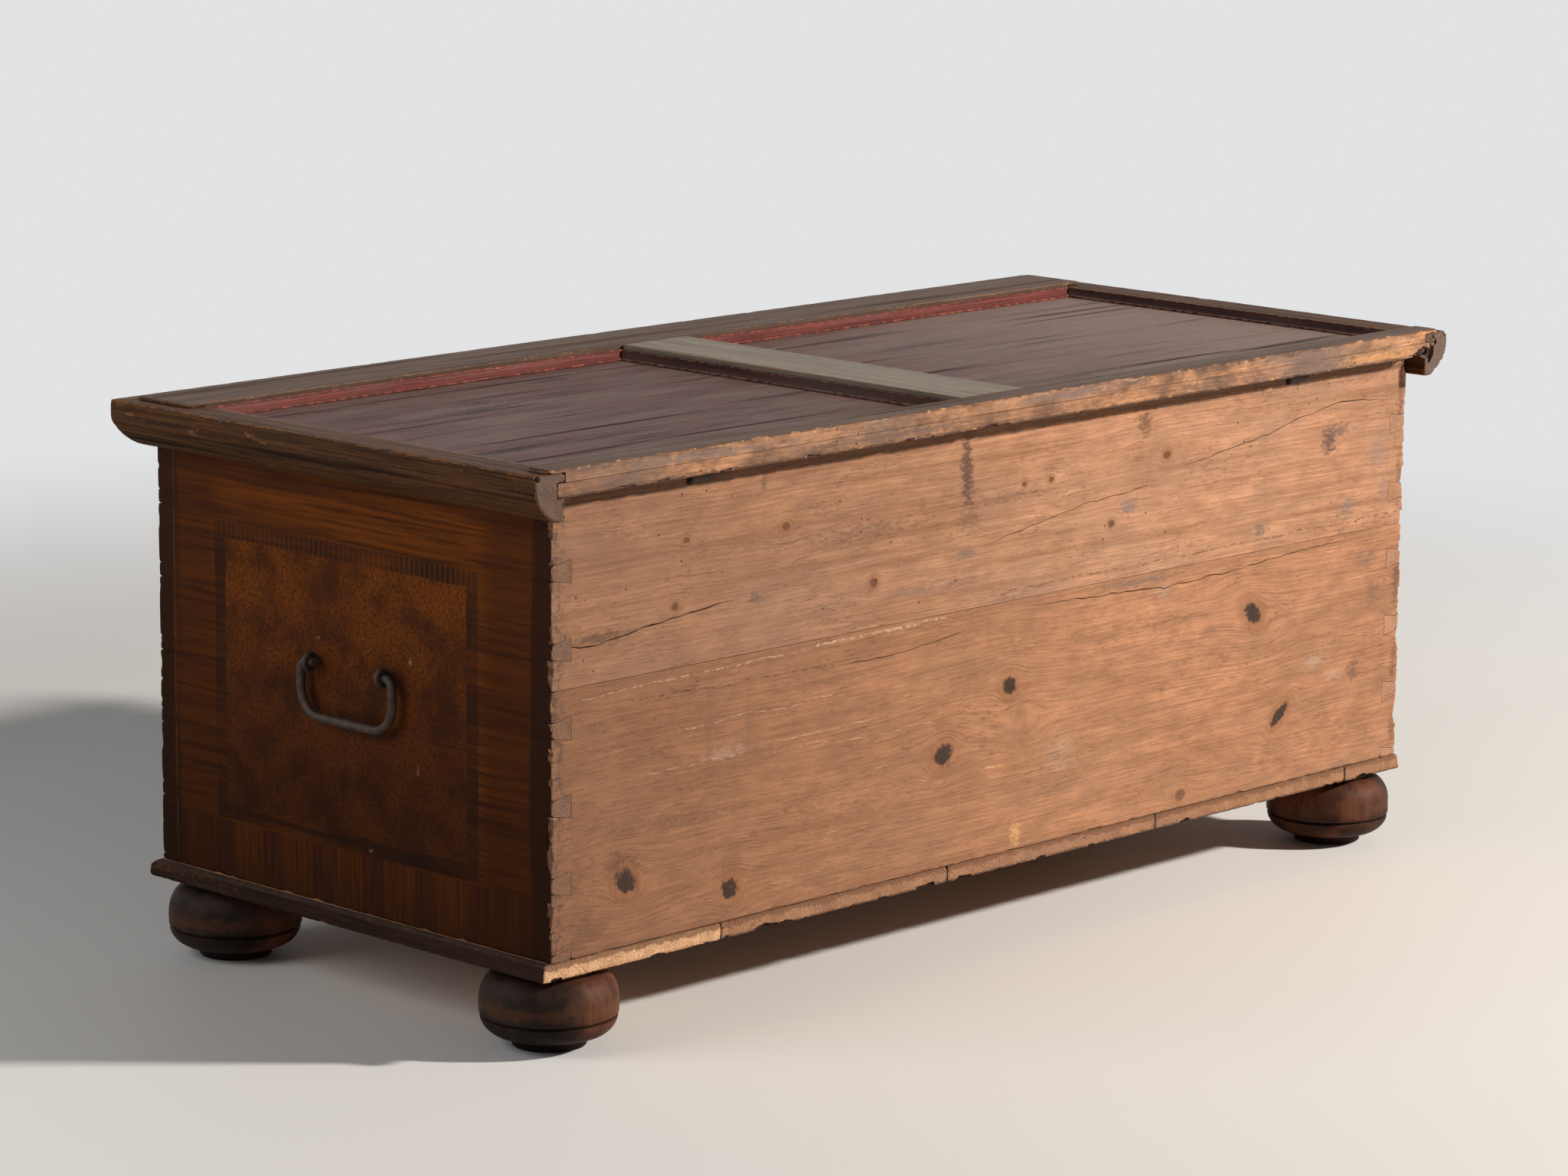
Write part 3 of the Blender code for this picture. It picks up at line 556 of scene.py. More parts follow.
@dataclass(frozen=True)
class Finish:
    """A finish that makes one material."""

    name: str
    grain: Grain
    sheen: float = 0.2

    def axes(self, sketch: Sketch) -> tuple[Socket, Socket, Socket, Socket]:
        """Reads a surface point in the row frame.

        Args:
            sketch: the material's nodes.

        Returns:
            The point, and its place along, across and through the grain.
        """
        place = sketch.add("TexCoord").outputs["Object"]
        parts = sketch.add("SeparateXYZ", {0: place}).outputs
        along, across, depth = (parts["XYZ".index(axis)] for axis in self.grain.value)
        return place, along, across, depth

    def look(self, sketch: Sketch, effects: Effects) -> Look:
        """Paints the surface; each finish has its own."""
        raise NotImplementedError

    @staticmethod
    def edge_rub(sketch: Sketch, effects: Effects, place: Socket, amount: float, scale: float) -> Sequence:
        """Finds where rubbing has worn the arrises.

        Args:
            sketch: the material's nodes.
            effects: the shared groups.
            place: the surface point.
            amount: how far the wear goes.
            scale: its patches in a metre.

        Returns:
            The masks of the bare wood and of the rub round it, by name.
        """
        return effects.place(sketch, Effect.EDGE_WEAR, {
            "Point": place, "Edge": sketch.attribute("wear"), "Amount": amount, "Scale": scale}).outputs

    @staticmethod
    def chipped(sketch: Sketch, place: Socket) -> Socket:
        """Finds where chips have broken the surface, with ragged rims.

        Args:
            sketch: the material's nodes.
            place: the surface point.

        Returns:
            The mask.
        """
        ragged = sketch.spread(sketch.noise(place, 240.0, 4.0, 0.65), -0.9, 0.7)
        return sketch.step(sketch.plus(sketch.attribute("chip"), ragged), 0.12, 0.42)

    @staticmethod
    def marks(sketch: Sketch, effects: Effects, colour: Socket, where: tuple[Socket, Socket],
              marks: Sequence[Smudge | Stroke]) -> Socket:
        """Lays smudges and strokes over a colour.

        A mark's place hangs by a hair on the mark before it, so that the renderer works the marks out one
        after another. All at once they need more room than it has, and the whole surface turns black.

        Args:
            sketch: the material's nodes.
            effects: the shared groups.
            colour: the colour so far.
            where: the place along and across.
            marks: the soft spots and the thin lines.

        Returns:
            The colour with its marks.
        """
        along, across = where
        for mark in marks:
            where_now = {"Along": along, "Across": across}
            group = effects.place(sketch, mark.effect, {**where_now, **mark.sockets()})
            share = sketch.times(group.outputs["Mask"], mark.strength)
            colour = sketch.blend(share, colour, mark.tint)
            across = sketch.scaled(share, MARK_HAIR, across)
        return colour

    def material(self, effects: Effects) -> bpy.types.Material:
        """Makes the finish's material, or finds it if it is made.

        Args:
            effects: the shared groups.

        Returns:
            The material.
        """
        if self.name in bpy.data.materials:
            return bpy.data.materials[self.name]
        made = bpy.data.materials.new(self.name)
        made.use_nodes = True
        sketch = Sketch(made.node_tree)
        shader = made.node_tree.nodes["Principled BSDF"]
        self.settle(shader)
        look = self.look(sketch, effects)
        sketch.feed(shader.inputs["Base Color"], look.colour)
        sketch.feed(shader.inputs["Roughness"], look.roughness)
        relief = sketch.add("Bump", {"Distance": look.relief, "Height": look.height})
        sketch.feed(shader.inputs["Normal"], relief.outputs["Normal"])
        return made

    def settle(self, shader: bpy.types.Node) -> None:
        """Sets the values that are the same all over the surface."""
        shader.inputs["Specular IOR Level"].default_value = self.sheen


@dataclass(frozen=True)
class Pine(Finish):
    """Bare old pine with growth rings, knots, stains, cracks and chipped arrises."""

    pith: Pair = (0.0, 0.0)
    ring: float = 0.0042
    early: Colour = (0.410, 0.198, 0.104)
    late: Colour = (0.248, 0.106, 0.049)
    grey: Colour = (0.276, 0.159, 0.102)
    pale: Colour = (0.55, 0.320, 0.195)
    soil: Colour = (0.175, 0.078, 0.040)
    heart: Colour = (0.026, 0.016, 0.012)
    halo: Colour = (0.22, 0.088, 0.036)
    fresh: Colour = (0.56, 0.290, 0.122)
    # grime: dirt in worm holes, cracks and on rubbed arrises, and also the colour of the painted shadow
    # below the lid
    grime: Colour = (0.075, 0.038, 0.022)
    ring_share: float = 0.42
    grey_share: float = 0.45
    grime_share: float = 0.5
    dirt_share: float = 0.36
    fleck_share: float = 0.60
    scuff_share: float = 0.42
    check_share: float = 0.62
    mottling: float = 0.22
    banding: float = 0.0
    # near_dusk paints shade, darker towards the near (+X) end as the light falls off; far_dusk darkens the
    # far (-X) end; dusk is their colour
    near_dusk: float = 0.0
    near_run: Pair = (-0.35, 0.68)
    far_dusk: float = 0.0
    far_run: Pair = (-0.10, -0.62)
    dusk: Colour = (0.112, 0.050, 0.025)
    # The next three fields paint the shadow of the lid's overhang: a ragged band of painted shadow below
    # this height on the back
    eaves: float = 0.0
    eaves_band: Pair = (0.0165, 0.0105)
    eaves_share: float = 0.62
    worm: float = 0.0
    relief: float = 0.0007
    knots: tuple[Knot, ...] = ()
    smudges: tuple[Smudge, ...] = ()
    strokes: tuple[Stroke, ...] = ()
    seed: float = 0.0

    def look(self, sketch: Sketch, effects: Effects) -> Look:
        """Paints bare pine.

        Args:
            sketch: the material's nodes.
            effects: the shared groups.

        Returns:
            The pine's look.
        """
        s = sketch
        place, along, across, depth = self.axes(s)
        bend: object = 0.0
        heart: object = 0.0
        halo: object = 0.0
        for knot in self.knots:
            group = effects.place(s, Effect.KNOT, {
                "Along": along, "Across": across, "At Along": knot.along, "At Across": knot.across,
                "Radius": knot.radius, "Stretch": knot.stretch, "Slant": knot.slant, "Dark": knot.dark,
                "Bend": bend, "Heart": heart, "Halo": halo})
            bend, heart, halo = (group.outputs[n] for n in ("Bend", "Heart", "Halo"))
        grain = effects.place(s, Effect.BOARD_GRAIN, {
            "Along": along, "Across": across, "Depth": depth, "Pith Across": self.pith[0],
            "Pith Depth": self.pith[1], "Ring": self.ring, "Bend": bend, "Seed": self.seed})
        rings, fibre, cloud, fleck, scuff, check = (
            grain.outputs[n] for n in ("Rings", "Fibre", "Cloud", "Fleck", "Scuff", "Check"))
        colour = s.stain(self.early, self.late, rings, self.ring_share)
        lie = (along, across, depth)
        mottle = s.step(s.noise(s.stretch(lie, (0.45, 1.0, 1.0), self.seed), 48.0, 6.0, 0.68), 0.25, 0.75)
        uneven = s.spread(mottle, 1.0 - self.mottling, 1.0 + self.mottling)
        colour = s.dim(colour, s.times(s.spread(fibre, 0.82, 1.18), uneven))
        patina = s.step(s.noise(s.stretch(lie, (1.0, 2.5, 1.0)), 4.0, 5.0, 0.6), 0.38, 0.72)
        colour = s.stain(colour, self.grey, patina, self.grey_share)
        if self.banding:
            bands = s.step(s.noise(s.stretch(lie, (1.7, 75.0, 1.0), self.seed), 1.0, 5.0, 0.62), 0.47, 0.70)
            colour = s.stain(colour, self.late, bands, self.banding)
        for mask, share, tint in ((s.step(cloud, 0.48, 0.74), self.dirt_share, self.late),
                                  (fleck, self.fleck_share, self.soil),
                                  (scuff, self.scuff_share, self.pale),
                                  (check, self.check_share, self.soil)):
            colour = s.stain(colour, tint, mask, share)
        # Painted shade of the light falling off towards the near (+X) end, and a darker far (-X) end
        for dusk, run in ((self.near_dusk, self.near_run), (self.far_dusk, self.far_run)):
            if dusk:
                colour = s.stain(colour, self.dusk, s.step(along, *run), dusk)
        # Painted shadow: a ragged dark band below the lid's overhang
        if self.eaves:
            level = s.plus(across, s.spread(s.noise(place, 60.0, 4.0, 0.6), -0.006, 0.006))
            under = s.step(level, *(self.eaves - drop for drop in self.eaves_band))
            colour = s.stain(colour, self.grime, under, self.eaves_share)
        if self.knots:
            colour = s.stain(colour, self.halo, halo, 0.6)
            colour = s.stain(colour, self.heart, heart, 0.93)
        colour = self.marks(s, effects, colour, (along, across), self.smudges + self.strokes)
        hole: object = 0.0
        if self.worm:
            hole = effects.place(s, Effect.WORM, {"Point": place, "Share": self.worm}).outputs["Hole"]
            colour = s.stain(colour, self.grime, hole, 0.9)
        rubbed = self.edge_rub(s, effects, place, 0.42, 95.0)
        colour = s.stain(colour, self.grime, rubbed["Rub"], self.grime_share)
        colour = s.stain(colour, self.fresh, self.chipped(s, place), 0.8)
        colour = s.blend(s.step(s.attribute("crack"), 0.05, 0.5), colour, self.grime)
        rough = s.spread(fibre, 0.74, 0.92)
        height = s.scaled(rings, 0.4, s.times(fibre, 0.9))
        height = s.minus(height, s.times(fleck, 0.35))
        height = s.minus(height, s.times(hole, 2.0))
        return Look(colour, rough, height, self.relief)


@dataclass(frozen=True)
class BasePine(Pine):
    """Bare pine of the bottom, painted where it stands out past the ends and the front."""

    lip: Pair = (0.6495, 0.2895)
    lip_blend: float = 0.001
    back_run: Pair = (0.2865, 0.2885)
    seam_run: Pair = (0.0905, 0.0935)
    skirt: Colour = (0.033, 0.0160, 0.0105)

    def look(self, sketch: Sketch, effects: Effects) -> Look:
        """Paints the bottom's pine and its lip.

        Args:
            sketch: the material's nodes.
            effects: the shared groups.

        Returns:
            The bottom's look.
        """
        look = super().look(sketch, effects)
        s = sketch
        place, along, across, depth = self.axes(s)
        ends = s.step(s.calc("ABSOLUTE", across), self.lip[0], self.lip[0] + self.lip_blend)
        front = s.step(s.times(along, -1.0), self.lip[1], self.lip[1] + self.lip_blend)
        behind = s.step(along, *self.back_run)
        share = s.times(s.calc("MAXIMUM", ends, front), s.inverse(behind))
        worn = s.times(share, s.spread(s.step(s.noise(place, 130.0, 4.0), 0.4, 0.7), 1.0, 0.94))
        look.colour = s.blend(worn, look.colour, self.skirt)
        level = s.plus(depth, s.spread(s.noise(place, 70.0, 4.0, 0.65), -0.007, 0.007))
        seam = s.times(s.step(level, *self.seam_run), behind)
        look.colour = s.stain(look.colour, self.soil, seam, 0.8)
        return look


@dataclass(frozen=True)
class BrushedPaint(Finish):
    """Old brushed paint that has worn through to the wood along arrises and in spots."""

    paint: Colour = (0.1, 0.1, 0.1)
    shade: Colour = (0.05, 0.05, 0.05)
    wood: Colour = (0.33, 0.17, 0.085)
    dust: Colour = (0.30, 0.26, 0.22)
    line: Colour = (0.03, 0.02, 0.018)
    wear: float = 0.35
    spots: float = 0.3
    dust_share: float = 0.3
    # haze paints light: the paint turns paler towards the far (-X) end
    haze: float = 0.0
    line_share: float = 0.5
    gloss: float = 0.5
    relief: float = 0.0004
    smudges: tuple[Smudge, ...] = ()
    strokes: tuple[Stroke, ...] = ()
    seed: float = 0.0

    def look(self, sketch: Sketch, effects: Effects) -> Look:
        """Paints brushed and worn paint.

        Args:
            sketch: the material's nodes.
            effects: the shared groups.

        Returns:
            The paint's look.
        """
        s = sketch
        place, along, across, depth = self.axes(s)
        brush = effects.place(s, Effect.STREAKS, {
            "Along": along, "Across": across, "Depth": depth, "Seed": self.seed})
        streak, line, cloud, pit = (brush.outputs[n] for n in ("Streak", "Line", "Cloud", "Pit"))
        colour = s.blend(s.step(streak, 0.35, 0.7), self.paint, self.shade)
        colour = s.stain(colour, self.dust, s.step(cloud, 0.42, 0.66), self.dust_share)
        # Painted light: the lid grows paler towards its far (-X) end, in a light tone of the dust
        if self.haze:
            colour = s.stain(colour, tuple(1.5 * part for part in self.dust), s.step(along, 0.10, -0.62),
                             self.haze)
        colour = s.stain(colour, self.line, line, self.line_share)
        colour = s.stain(colour, self.line, pit, 0.35)
        lie = (along, across, depth)
        patches = s.noise(s.stretch(lie, (0.4, 1.0, 1.0), self.seed), 44.0, 8.0, 0.72)
        bare = s.step(patches, 0.80 - self.spots * 0.5, 0.87 - self.spots * 0.5)
        colour = s.stain(colour, self.wood, bare, 0.85)
        grit = s.noise(s.stretch(lie, (45.0, 260.0, 260.0), self.seed), 1.0, 4.0, 0.7)
        colour = s.dim(colour, s.spread(grit, 0.58, 1.42))
        colour = self.marks(s, effects, colour, (along, across), self.smudges + self.strokes)
        rubbed = self.edge_rub(s, effects, place, self.wear, 120.0)
        colour = s.stain(colour, self.shade, rubbed["Rub"], 0.35)
        colour = s.stain(colour, self.wood, rubbed["Mask"], 0.85)
        colour = s.stain(colour, self.wood, self.chipped(s, place), 0.85)
        dull = s.scaled(line, 0.3, s.times(rubbed["Mask"], 0.2))
        rough = s.plus(s.spread(streak, self.gloss - 0.08, self.gloss + 0.12), dull, clamp=True)
        height = s.minus(s.times(streak, 0.8), s.times(line, 0.5))
        return Look(colour, rough, height, self.relief)


@dataclass(frozen=True)
class InlayPaint(Finish):
    """Brown paint grained to look like inlay: dark edge bands, a banded frame and a burr field.

    Across the grain is the height; along it is the way round the chest.
    """

    half: float = 0.29
    frames: tuple[tuple[float, float, float, float], ...] = ()
    band: float = 0.017
    edge_band: float = 0.026
    sheen: float = 0.035
    border: Colour = (0.104, 0.0270, 0.0032)
    border_dark: Colour = (0.030, 0.0085, 0.0026)
    burr: Colour = (0.128, 0.0335, 0.0040)
    burr_dark: Colour = (0.022, 0.0068, 0.0034)
    stringing: Colour = (0.014, 0.0056, 0.0038)
    tick: Colour = (0.066, 0.0200, 0.0050)
    black: Colour = (0.0064, 0.0045, 0.0040)
    maroon: Colour = (0.026, 0.0072, 0.0062)
    wood: Colour = (0.27, 0.150, 0.072)
    tick_pitch: float = 0.0074
    block: float = 0.075
    base: float = 0.0976
    smudges: tuple[Smudge, ...] = ()
    strokes: tuple[Stroke, ...] = ()
    seed: float = 0.0

    def grained(self, sketch: Sketch, place: Socket, light: Colour, dark: Colour, low: float,
                high: float) -> Socket:
        """Returns a colour grained between a light and a dark tone by stretched noise.

        Args:
            sketch: the material's nodes.
            place: the stretched coordinates.
            light: the light tone.
            dark: the dark tone.
            low: the noise at which the dark begins.
            high: the noise at which it is full.

        Returns:
            The grained colour.
        """
        return sketch.blend(sketch.step(sketch.noise(place, 1.0, 4.0, 0.62), low, high), light, dark)

    def look(self, sketch: Sketch, effects: Effects) -> Look:
        """Paints the false inlay.

        Args:
            sketch: the material's nodes.
            effects: the shared groups.

        Returns:
            The paint's look.
        """
        s = sketch
        place, along, across, _ = self.axes(s)
        level = s.point(s.scaled(along, 6.0, self.seed), s.times(across, 170.0), self.seed)
        upright = s.point(s.times(along, 260.0), s.scaled(across, 9.0, self.seed), 2.0)
        colour = self.grained(s, level, self.border, self.border_dark, 0.38, 0.68)
        broad = s.point(s.scaled(along, 2.0, self.seed), s.times(across, 38.0), 5.0)
        colour = s.stain(colour, self.border_dark, s.step(s.noise(broad, 1.0, 2.0), 0.48, 0.7), 0.6)
        block_light = tuple(0.72 * a + 0.28 * b for a, b in zip(self.border, self.border_dark))
        blocks = self.grained(s, upright, block_light, self.border_dark, 0.34, 0.72)
        turn = s.calc("FRACT", s.calc("DIVIDE", s.plus(along, 0.020), self.block))
        dark_block = s.minus(s.step(turn, 0.52, 0.56), s.step(turn, 0.94, 0.98))
        blocks = s.stain(blocks, self.maroon, dark_block, s.spread(s.noise(place, 6.0, 2.0), 0.15, 0.85))
        low_edge = min((f[2] for f in self.frames), default=self.base)
        colour = s.blend(s.inverse(s.step(across, low_edge - 0.002, low_edge)), colour, blocks)
        speck = s.noise(place, 260.0, 5.0, 0.68)
        mottle = s.noise(place, 17.0, 5.0, 0.62)
        burr = s.stain(self.burr, self.burr_dark, s.step(speck, 0.42, 0.64), 0.75)
        burr = s.stain(burr, self.burr_dark, s.step(mottle, 0.38, 0.66), 0.75)
        for left, right, low, high in self.frames:
            mid_a, half_a = (left + right) / 2, (right - left) / 2
            mid_c, half_c = (low + high) / 2, (high - low) / 2
            out_a = s.minus(s.calc("ABSOLUTE", s.minus(along, mid_a)), half_a)
            out_c = s.minus(s.calc("ABSOLUTE", s.minus(across, mid_c)), half_c)
            gap = s.calc("MAXIMUM", out_a, out_c)
            wobble = s.spread(s.noise(place, 45.0, 2.0), -0.0014, 0.0014)
            gap = s.plus(gap, wobble)
            inside = s.inverse(s.step(gap, -0.0012, 0.0006))
            field_mask = s.inverse(s.step(gap, -self.band - 0.0006, -self.band + 0.001))
            ticks = s.step(s.calc("SINE", s.times(along, 2 * math.pi / self.tick_pitch)), -0.2, 0.6)
            ticked = s.times(ticks, s.step(across, high - self.band - 0.004, high - self.band))
            faded = s.spread(s.noise(place, 14.0, 2.0), 0.2, 1.0)
            string = s.stain(self.stringing, self.tick, ticked, faded)
            string = s.stain(string, self.tick, s.step(speck, 0.5, 0.7), 0.5)
            fall = s.step(across, high, low + 0.04)
            deep = s.stain(burr, self.burr_dark, fall, 0.55)
            share = s.spread(s.step(s.noise(place, 11.0, 3.0), 0.3, 0.7), 0.35, 0.95)
            colour = s.stain(colour, string, inside, share)
            colour = s.blend(field_mask, colour, deep)
        rim = s.minus(self.half, s.calc("ABSOLUTE", along))
        ragged = s.plus(rim, s.spread(s.noise(upright, 0.35, 4.0, 0.6), -0.020, 0.020))
        black_band = s.inverse(s.step(ragged, self.edge_band - 0.006, self.edge_band + 0.005))
        band = self.grained(s, upright, self.black, self.stringing, 0.5, 0.7)
        colour = s.stain(colour, band, black_band, 0.92)
        rise = s.plus(across, s.spread(mottle, -0.03, 0.03))
        foot = s.inverse(s.step(rise, self.base, self.base + 0.05))
        colour = s.stain(colour, self.stringing, foot, 0.3)
        flank = s.step(s.calc("ABSOLUTE", along), self.half * 0.62, self.half * 0.74)
        colour = s.stain(colour, self.border_dark, flank, 0.55)
        colour = s.dim(colour, s.spread(s.step(across, self.base, 0.52), 0.90, 1.42))
        colour = self.marks(s, effects, colour, (along, across), self.smudges + self.strokes)
        rubbed = self.edge_rub(s, effects, place, 0.12, 110.0)
        above = s.step(across, self.base + 0.004, self.base + 0.012)
        bared = s.times(rubbed["Mask"], above)
        colour = s.stain(colour, self.wood, bared, 0.55)
        chip = s.times(s.step(s.attribute("chip"), 0.25, 0.55), above)
        colour = s.stain(colour, self.wood, chip, 0.9)
        rough = s.spread(speck, 0.40, 0.66)
        scratch = s.noise(level, 1.7, 3.0)
        height = s.scaled(speck, 0.35, s.times(scratch, 0.6))
        return Look(colour, rough, height, 0.0004)


@dataclass(frozen=True)
class TurnedWood(Finish):
    """Dark stained turned wood with lathe lines, rubbed brown where it stands out."""

    sheen: float = 0.08
    dark: Colour = (0.0115, 0.0074, 0.0058)
    stain: Colour = (0.032, 0.0178, 0.0122)
    bare_dark: Colour = (0.036, 0.0155, 0.0092)
    bare: Colour = (0.110, 0.0385, 0.0185)
    stand: Pair = (0.601, 0.235)
    paint_edge: Pair = (0.002, 0.036)
    rubbed: Colour = (0.130, 0.050, 0.024)
    # The dark towards the floor, and also the colour of the painted shade in the groove
    floor_dirt: Colour = (0.0070, 0.0046, 0.0036)
    groove: float = 0.031

    def look(self, sketch: Sketch, effects: Effects) -> Look:
        """Paints a turned foot.

        Args:
            sketch: the material's nodes.
            effects: the shared groups.

        Returns:
            The foot's look.
        """
        s = sketch
        place, along, across, depth = self.axes(s)
        cloud = s.noise(place, 24.0, 4.0, 0.6)
        vein = s.noise(s.stretch((across, depth, along), (260.0, 260.0, 26.0)), 1.0, 4.0, 0.6)
        lathe = s.noise(s.point(s.times(along, 900.0), 0.0, 0.0), 1.0, 2.0)
        ragged = s.spread(s.noise(place, 38.0, 4.0, 0.6), -0.016, 0.016)
        outward = (s.plus(s.calc("ABSOLUTE", across), ragged), s.minus(ragged, depth))
        sides, front = (s.step(out, stand + self.paint_edge[0], stand + self.paint_edge[1])
                        for out, stand in zip(outward, self.stand))
        painted = s.calc("MAXIMUM", sides, front)
        deep = s.blend(painted, self.bare_dark, self.dark)
        colour = s.blend(s.step(cloud, 0.36, 0.62), deep, s.blend(painted, self.bare, self.stain))
        colour = s.stain(colour, deep, s.step(vein, 0.45, 0.75), 0.6)
        worn = self.edge_rub(s, effects, place, 0.36, 60.0)
        colour = s.stain(colour, self.rubbed, worn["Rub"], 0.10)
        colour = s.stain(colour, self.rubbed, worn["Mask"], 0.22)
        # Darker towards the floor
        low = s.inverse(s.step(along, 0.006, 0.016))
        colour = s.stain(colour, self.floor_dirt, low, 0.8)
        # Painted shade in the incised groove
        off = s.calc("ABSOLUTE", s.minus(along, self.groove))
        line = s.inverse(s.step(off, 0.0006, 0.0022))
        colour = s.stain(colour, self.floor_dirt, line, 0.85)
        rough = s.spread(cloud, 0.42, 0.68)
        height = s.scaled(vein, 0.6, s.times(lathe, 0.5))
        return Look(colour, rough, height, 0.0004)


@dataclass(frozen=True)
class ForgedIron(Finish):
    """Hand forged iron, dark and rusty with rubbed high spots."""

    scale: Colour = (0.028, 0.021, 0.017)
    rust: Colour = (0.080, 0.034, 0.017)
    rubbed: Colour = (0.080, 0.066, 0.056)
    metal: float = 0.4
    gloss: float = 0.4

    def look(self, sketch: Sketch, effects: Effects) -> Look:
        """Paints forged iron.

        Args:
            sketch: the material's nodes.
            effects: the shared groups; not used.

        Returns:
            The iron's look.
        """
        s = sketch
        place = self.axes(s)[0]
        cloud = s.noise(place, 120.0, 5.0, 0.65)
        pits = s.noise(place, 620.0, 3.0, 0.6)
        colour = s.blend(s.step(cloud, 0.45, 0.66), self.scale, self.rust)
        colour = s.stain(colour, self.rubbed, s.step(pits, 0.52, 0.7), 0.4)
        rough = s.spread(cloud, 0.42, 0.8)
        height = s.scaled(cloud, 0.8, s.times(pits, 0.5))
        return Look(colour, rough, height, 0.0005)

    def settle(self, shader: bpy.types.Node) -> None:
        """Sets iron's metal share and gloss."""
        shader.inputs["Metallic"].default_value = self.metal
        shader.inputs["Specular IOR Level"].default_value = self.gloss


@dataclass(frozen=True)
class Chip:
    """A chip broken from an arris."""

    at: Triple
    reach: float
    depth: float


@dataclass(frozen=True)
class Scoop:
    """A rough lump broken out of an arris, by its place and its half sizes."""

    at: Triple
    size: Triple
    swell: Pair = (0.55, 0.16)
    large: float = 0.006

    def lump(self, bm: bmesh.types.BMesh) -> None:
        """Adds the lump to a cutter and marks its points as chipped.

        Args:
            bm: the cutter's mesh, with its chip layer.
        """
        layer = bm.verts.layers.float["chip"]
        fine = 3 if max(self.size) > self.large else 2
        for vert in bmesh.ops.create_icosphere(bm, subdivisions=fine, radius=1.0)["verts"]:
            swell = 1.0 + self.swell[0] * noise.noise(vert.co * 1.6 + Vector(self.at) * 90.0)
            swell += self.swell[1] * noise.noise(vert.co * 6.0 + Vector(self.at) * 70.0)
            vert.co = [self.at[k] + vert.co[k] * self.size[k] * swell for k in range(3)]
            vert[layer] = 1.0

    def reaches(self, low: Vector, high: Vector) -> bool:
        """Tells whether the lump, at its most swollen, can reach into a box."""
        span = [(1.0 + sum(self.swell)) * size for size in self.size]
        return all(low[k] - span[k] < self.at[k] < high[k] + span[k] for k in range(3))


def scoops(start: Triple, stop: Triple, count: int,
           small: Triple, large: Triple) -> tuple[Scoop, ...]:
    """Scatters scoops along an arris, always the same ones for the same arris.

    Args:
        start: one end of the arris.
        stop: its other end.
        count: how many.
        small: the least half sizes.
        large: the greatest half sizes.

    Returns:
        The scoops.
    """
    dice = random.Random(repr((start, stop)))
    made = []
    for k in range(count):
        spot = Vector(start).lerp(Vector(stop), (k + dice.uniform(0.1, 0.9)) / count)
        share = dice.random() ** 2
        made.append(Scoop(tuple(spot), tuple(a + (b - a) * share for a, b in zip(small, large))))
    return tuple(made)


@dataclass(frozen=True)
class Crack:
    """A shrinkage crack in a face, by the points of its run, as (x, z), with its widths and depth."""

    run: tuple[Pair, ...]
    width: float = 0.0012
    depth: float = 0.007
    pitch: float = 0.012
    taper: float = 6.0
    tip: float = 0.12
    jitter: float = 0.0011
    root: float = 0.3
    over: float = 0.0006

    def fine(self) -> list[Vector]:
        """Divides the run.

        Returns:
            Points along it, with no Y.
        """
        points = [Vector((x, 0.0, z)) for x, z in self.run]
        fine: list[Vector] = []
        for a, b in zip(points, points[1:]):
            count = max(1, round((b - a).length / self.pitch))
            fine += [a.lerp(b, k / count) for k in range(count)]
        return fine + [points[-1]]


@dataclass(frozen=True)
class Wear:
    """How a piece's arrises have worn."""

    pitch: float = 0.007
    band: float = 0.006
    rounding: float = 0.0011
    joint: float = 0.00005
    chips_per_metre: float = 2.0
    chip_reach: Pair = (0.004, 0.013)
    chip_depth: Pair = (0.0008, 0.0028)
    chip_jag: Pair = (0.65, 1.15)
    chip_fade: float = 1.6
    chip_full: float = 0.0012
    rub: Pair = (0.55, 0.90)
    rub_scale: float = 38.0
    patch_share: float = 0.36
    edge_share: float = 0.35


def tree_of(points: Sequence[Vector]) -> KDTree:
    """Plants points in a tree that finds the nearest of them.

    Args:
        points: the points.

    Returns:
        The tree.
    """
    tree = KDTree(max(1, len(points)))
    for k, point in enumerate(points):
        tree.insert(point, k)
    tree.balance()
    return tree


def merged(mesh: bpy.types.Mesh) -> bmesh.types.BMesh:
    """Copies a solid, with its loose triangles merged into whole faces.

    Args:
        mesh: the solid's mesh.

    Returns:
        The copy.
    """
    bm = bmesh.new()
    bm.from_mesh(mesh)
    bmesh.ops.remove_doubles(bm, verts=bm.verts, dist=WELD)
    bmesh.ops.dissolve_limit(bm, angle_limit=FLAT_ANGLE, verts=bm.verts, edges=bm.edges)
    bm.normal_update()
    return bm


def loft(bm: bmesh.types.BMesh, rings: Sequence[Sequence[Vector]]) -> None:
    """Draws a closed tube through rings of points by extruding one face from ring to ring.

    Args:
        bm: the mesh to draw in.
        rings: the rings, each with the same number of points.
    """
    face = bm.faces.new([bm.verts.new(p) for p in rings[0]])
    for ring in rings[1:]:
        face = bmesh.ops.extrude_discrete_faces(bm, faces=[face])["faces"][0]
        for vert, target in zip(face.verts, ring):
            vert.co = target
    bmesh.ops.holes_fill(bm, edges=[e for e in bm.edges if e.is_boundary])
    bmesh.ops.recalc_face_normals(bm, faces=bm.faces)


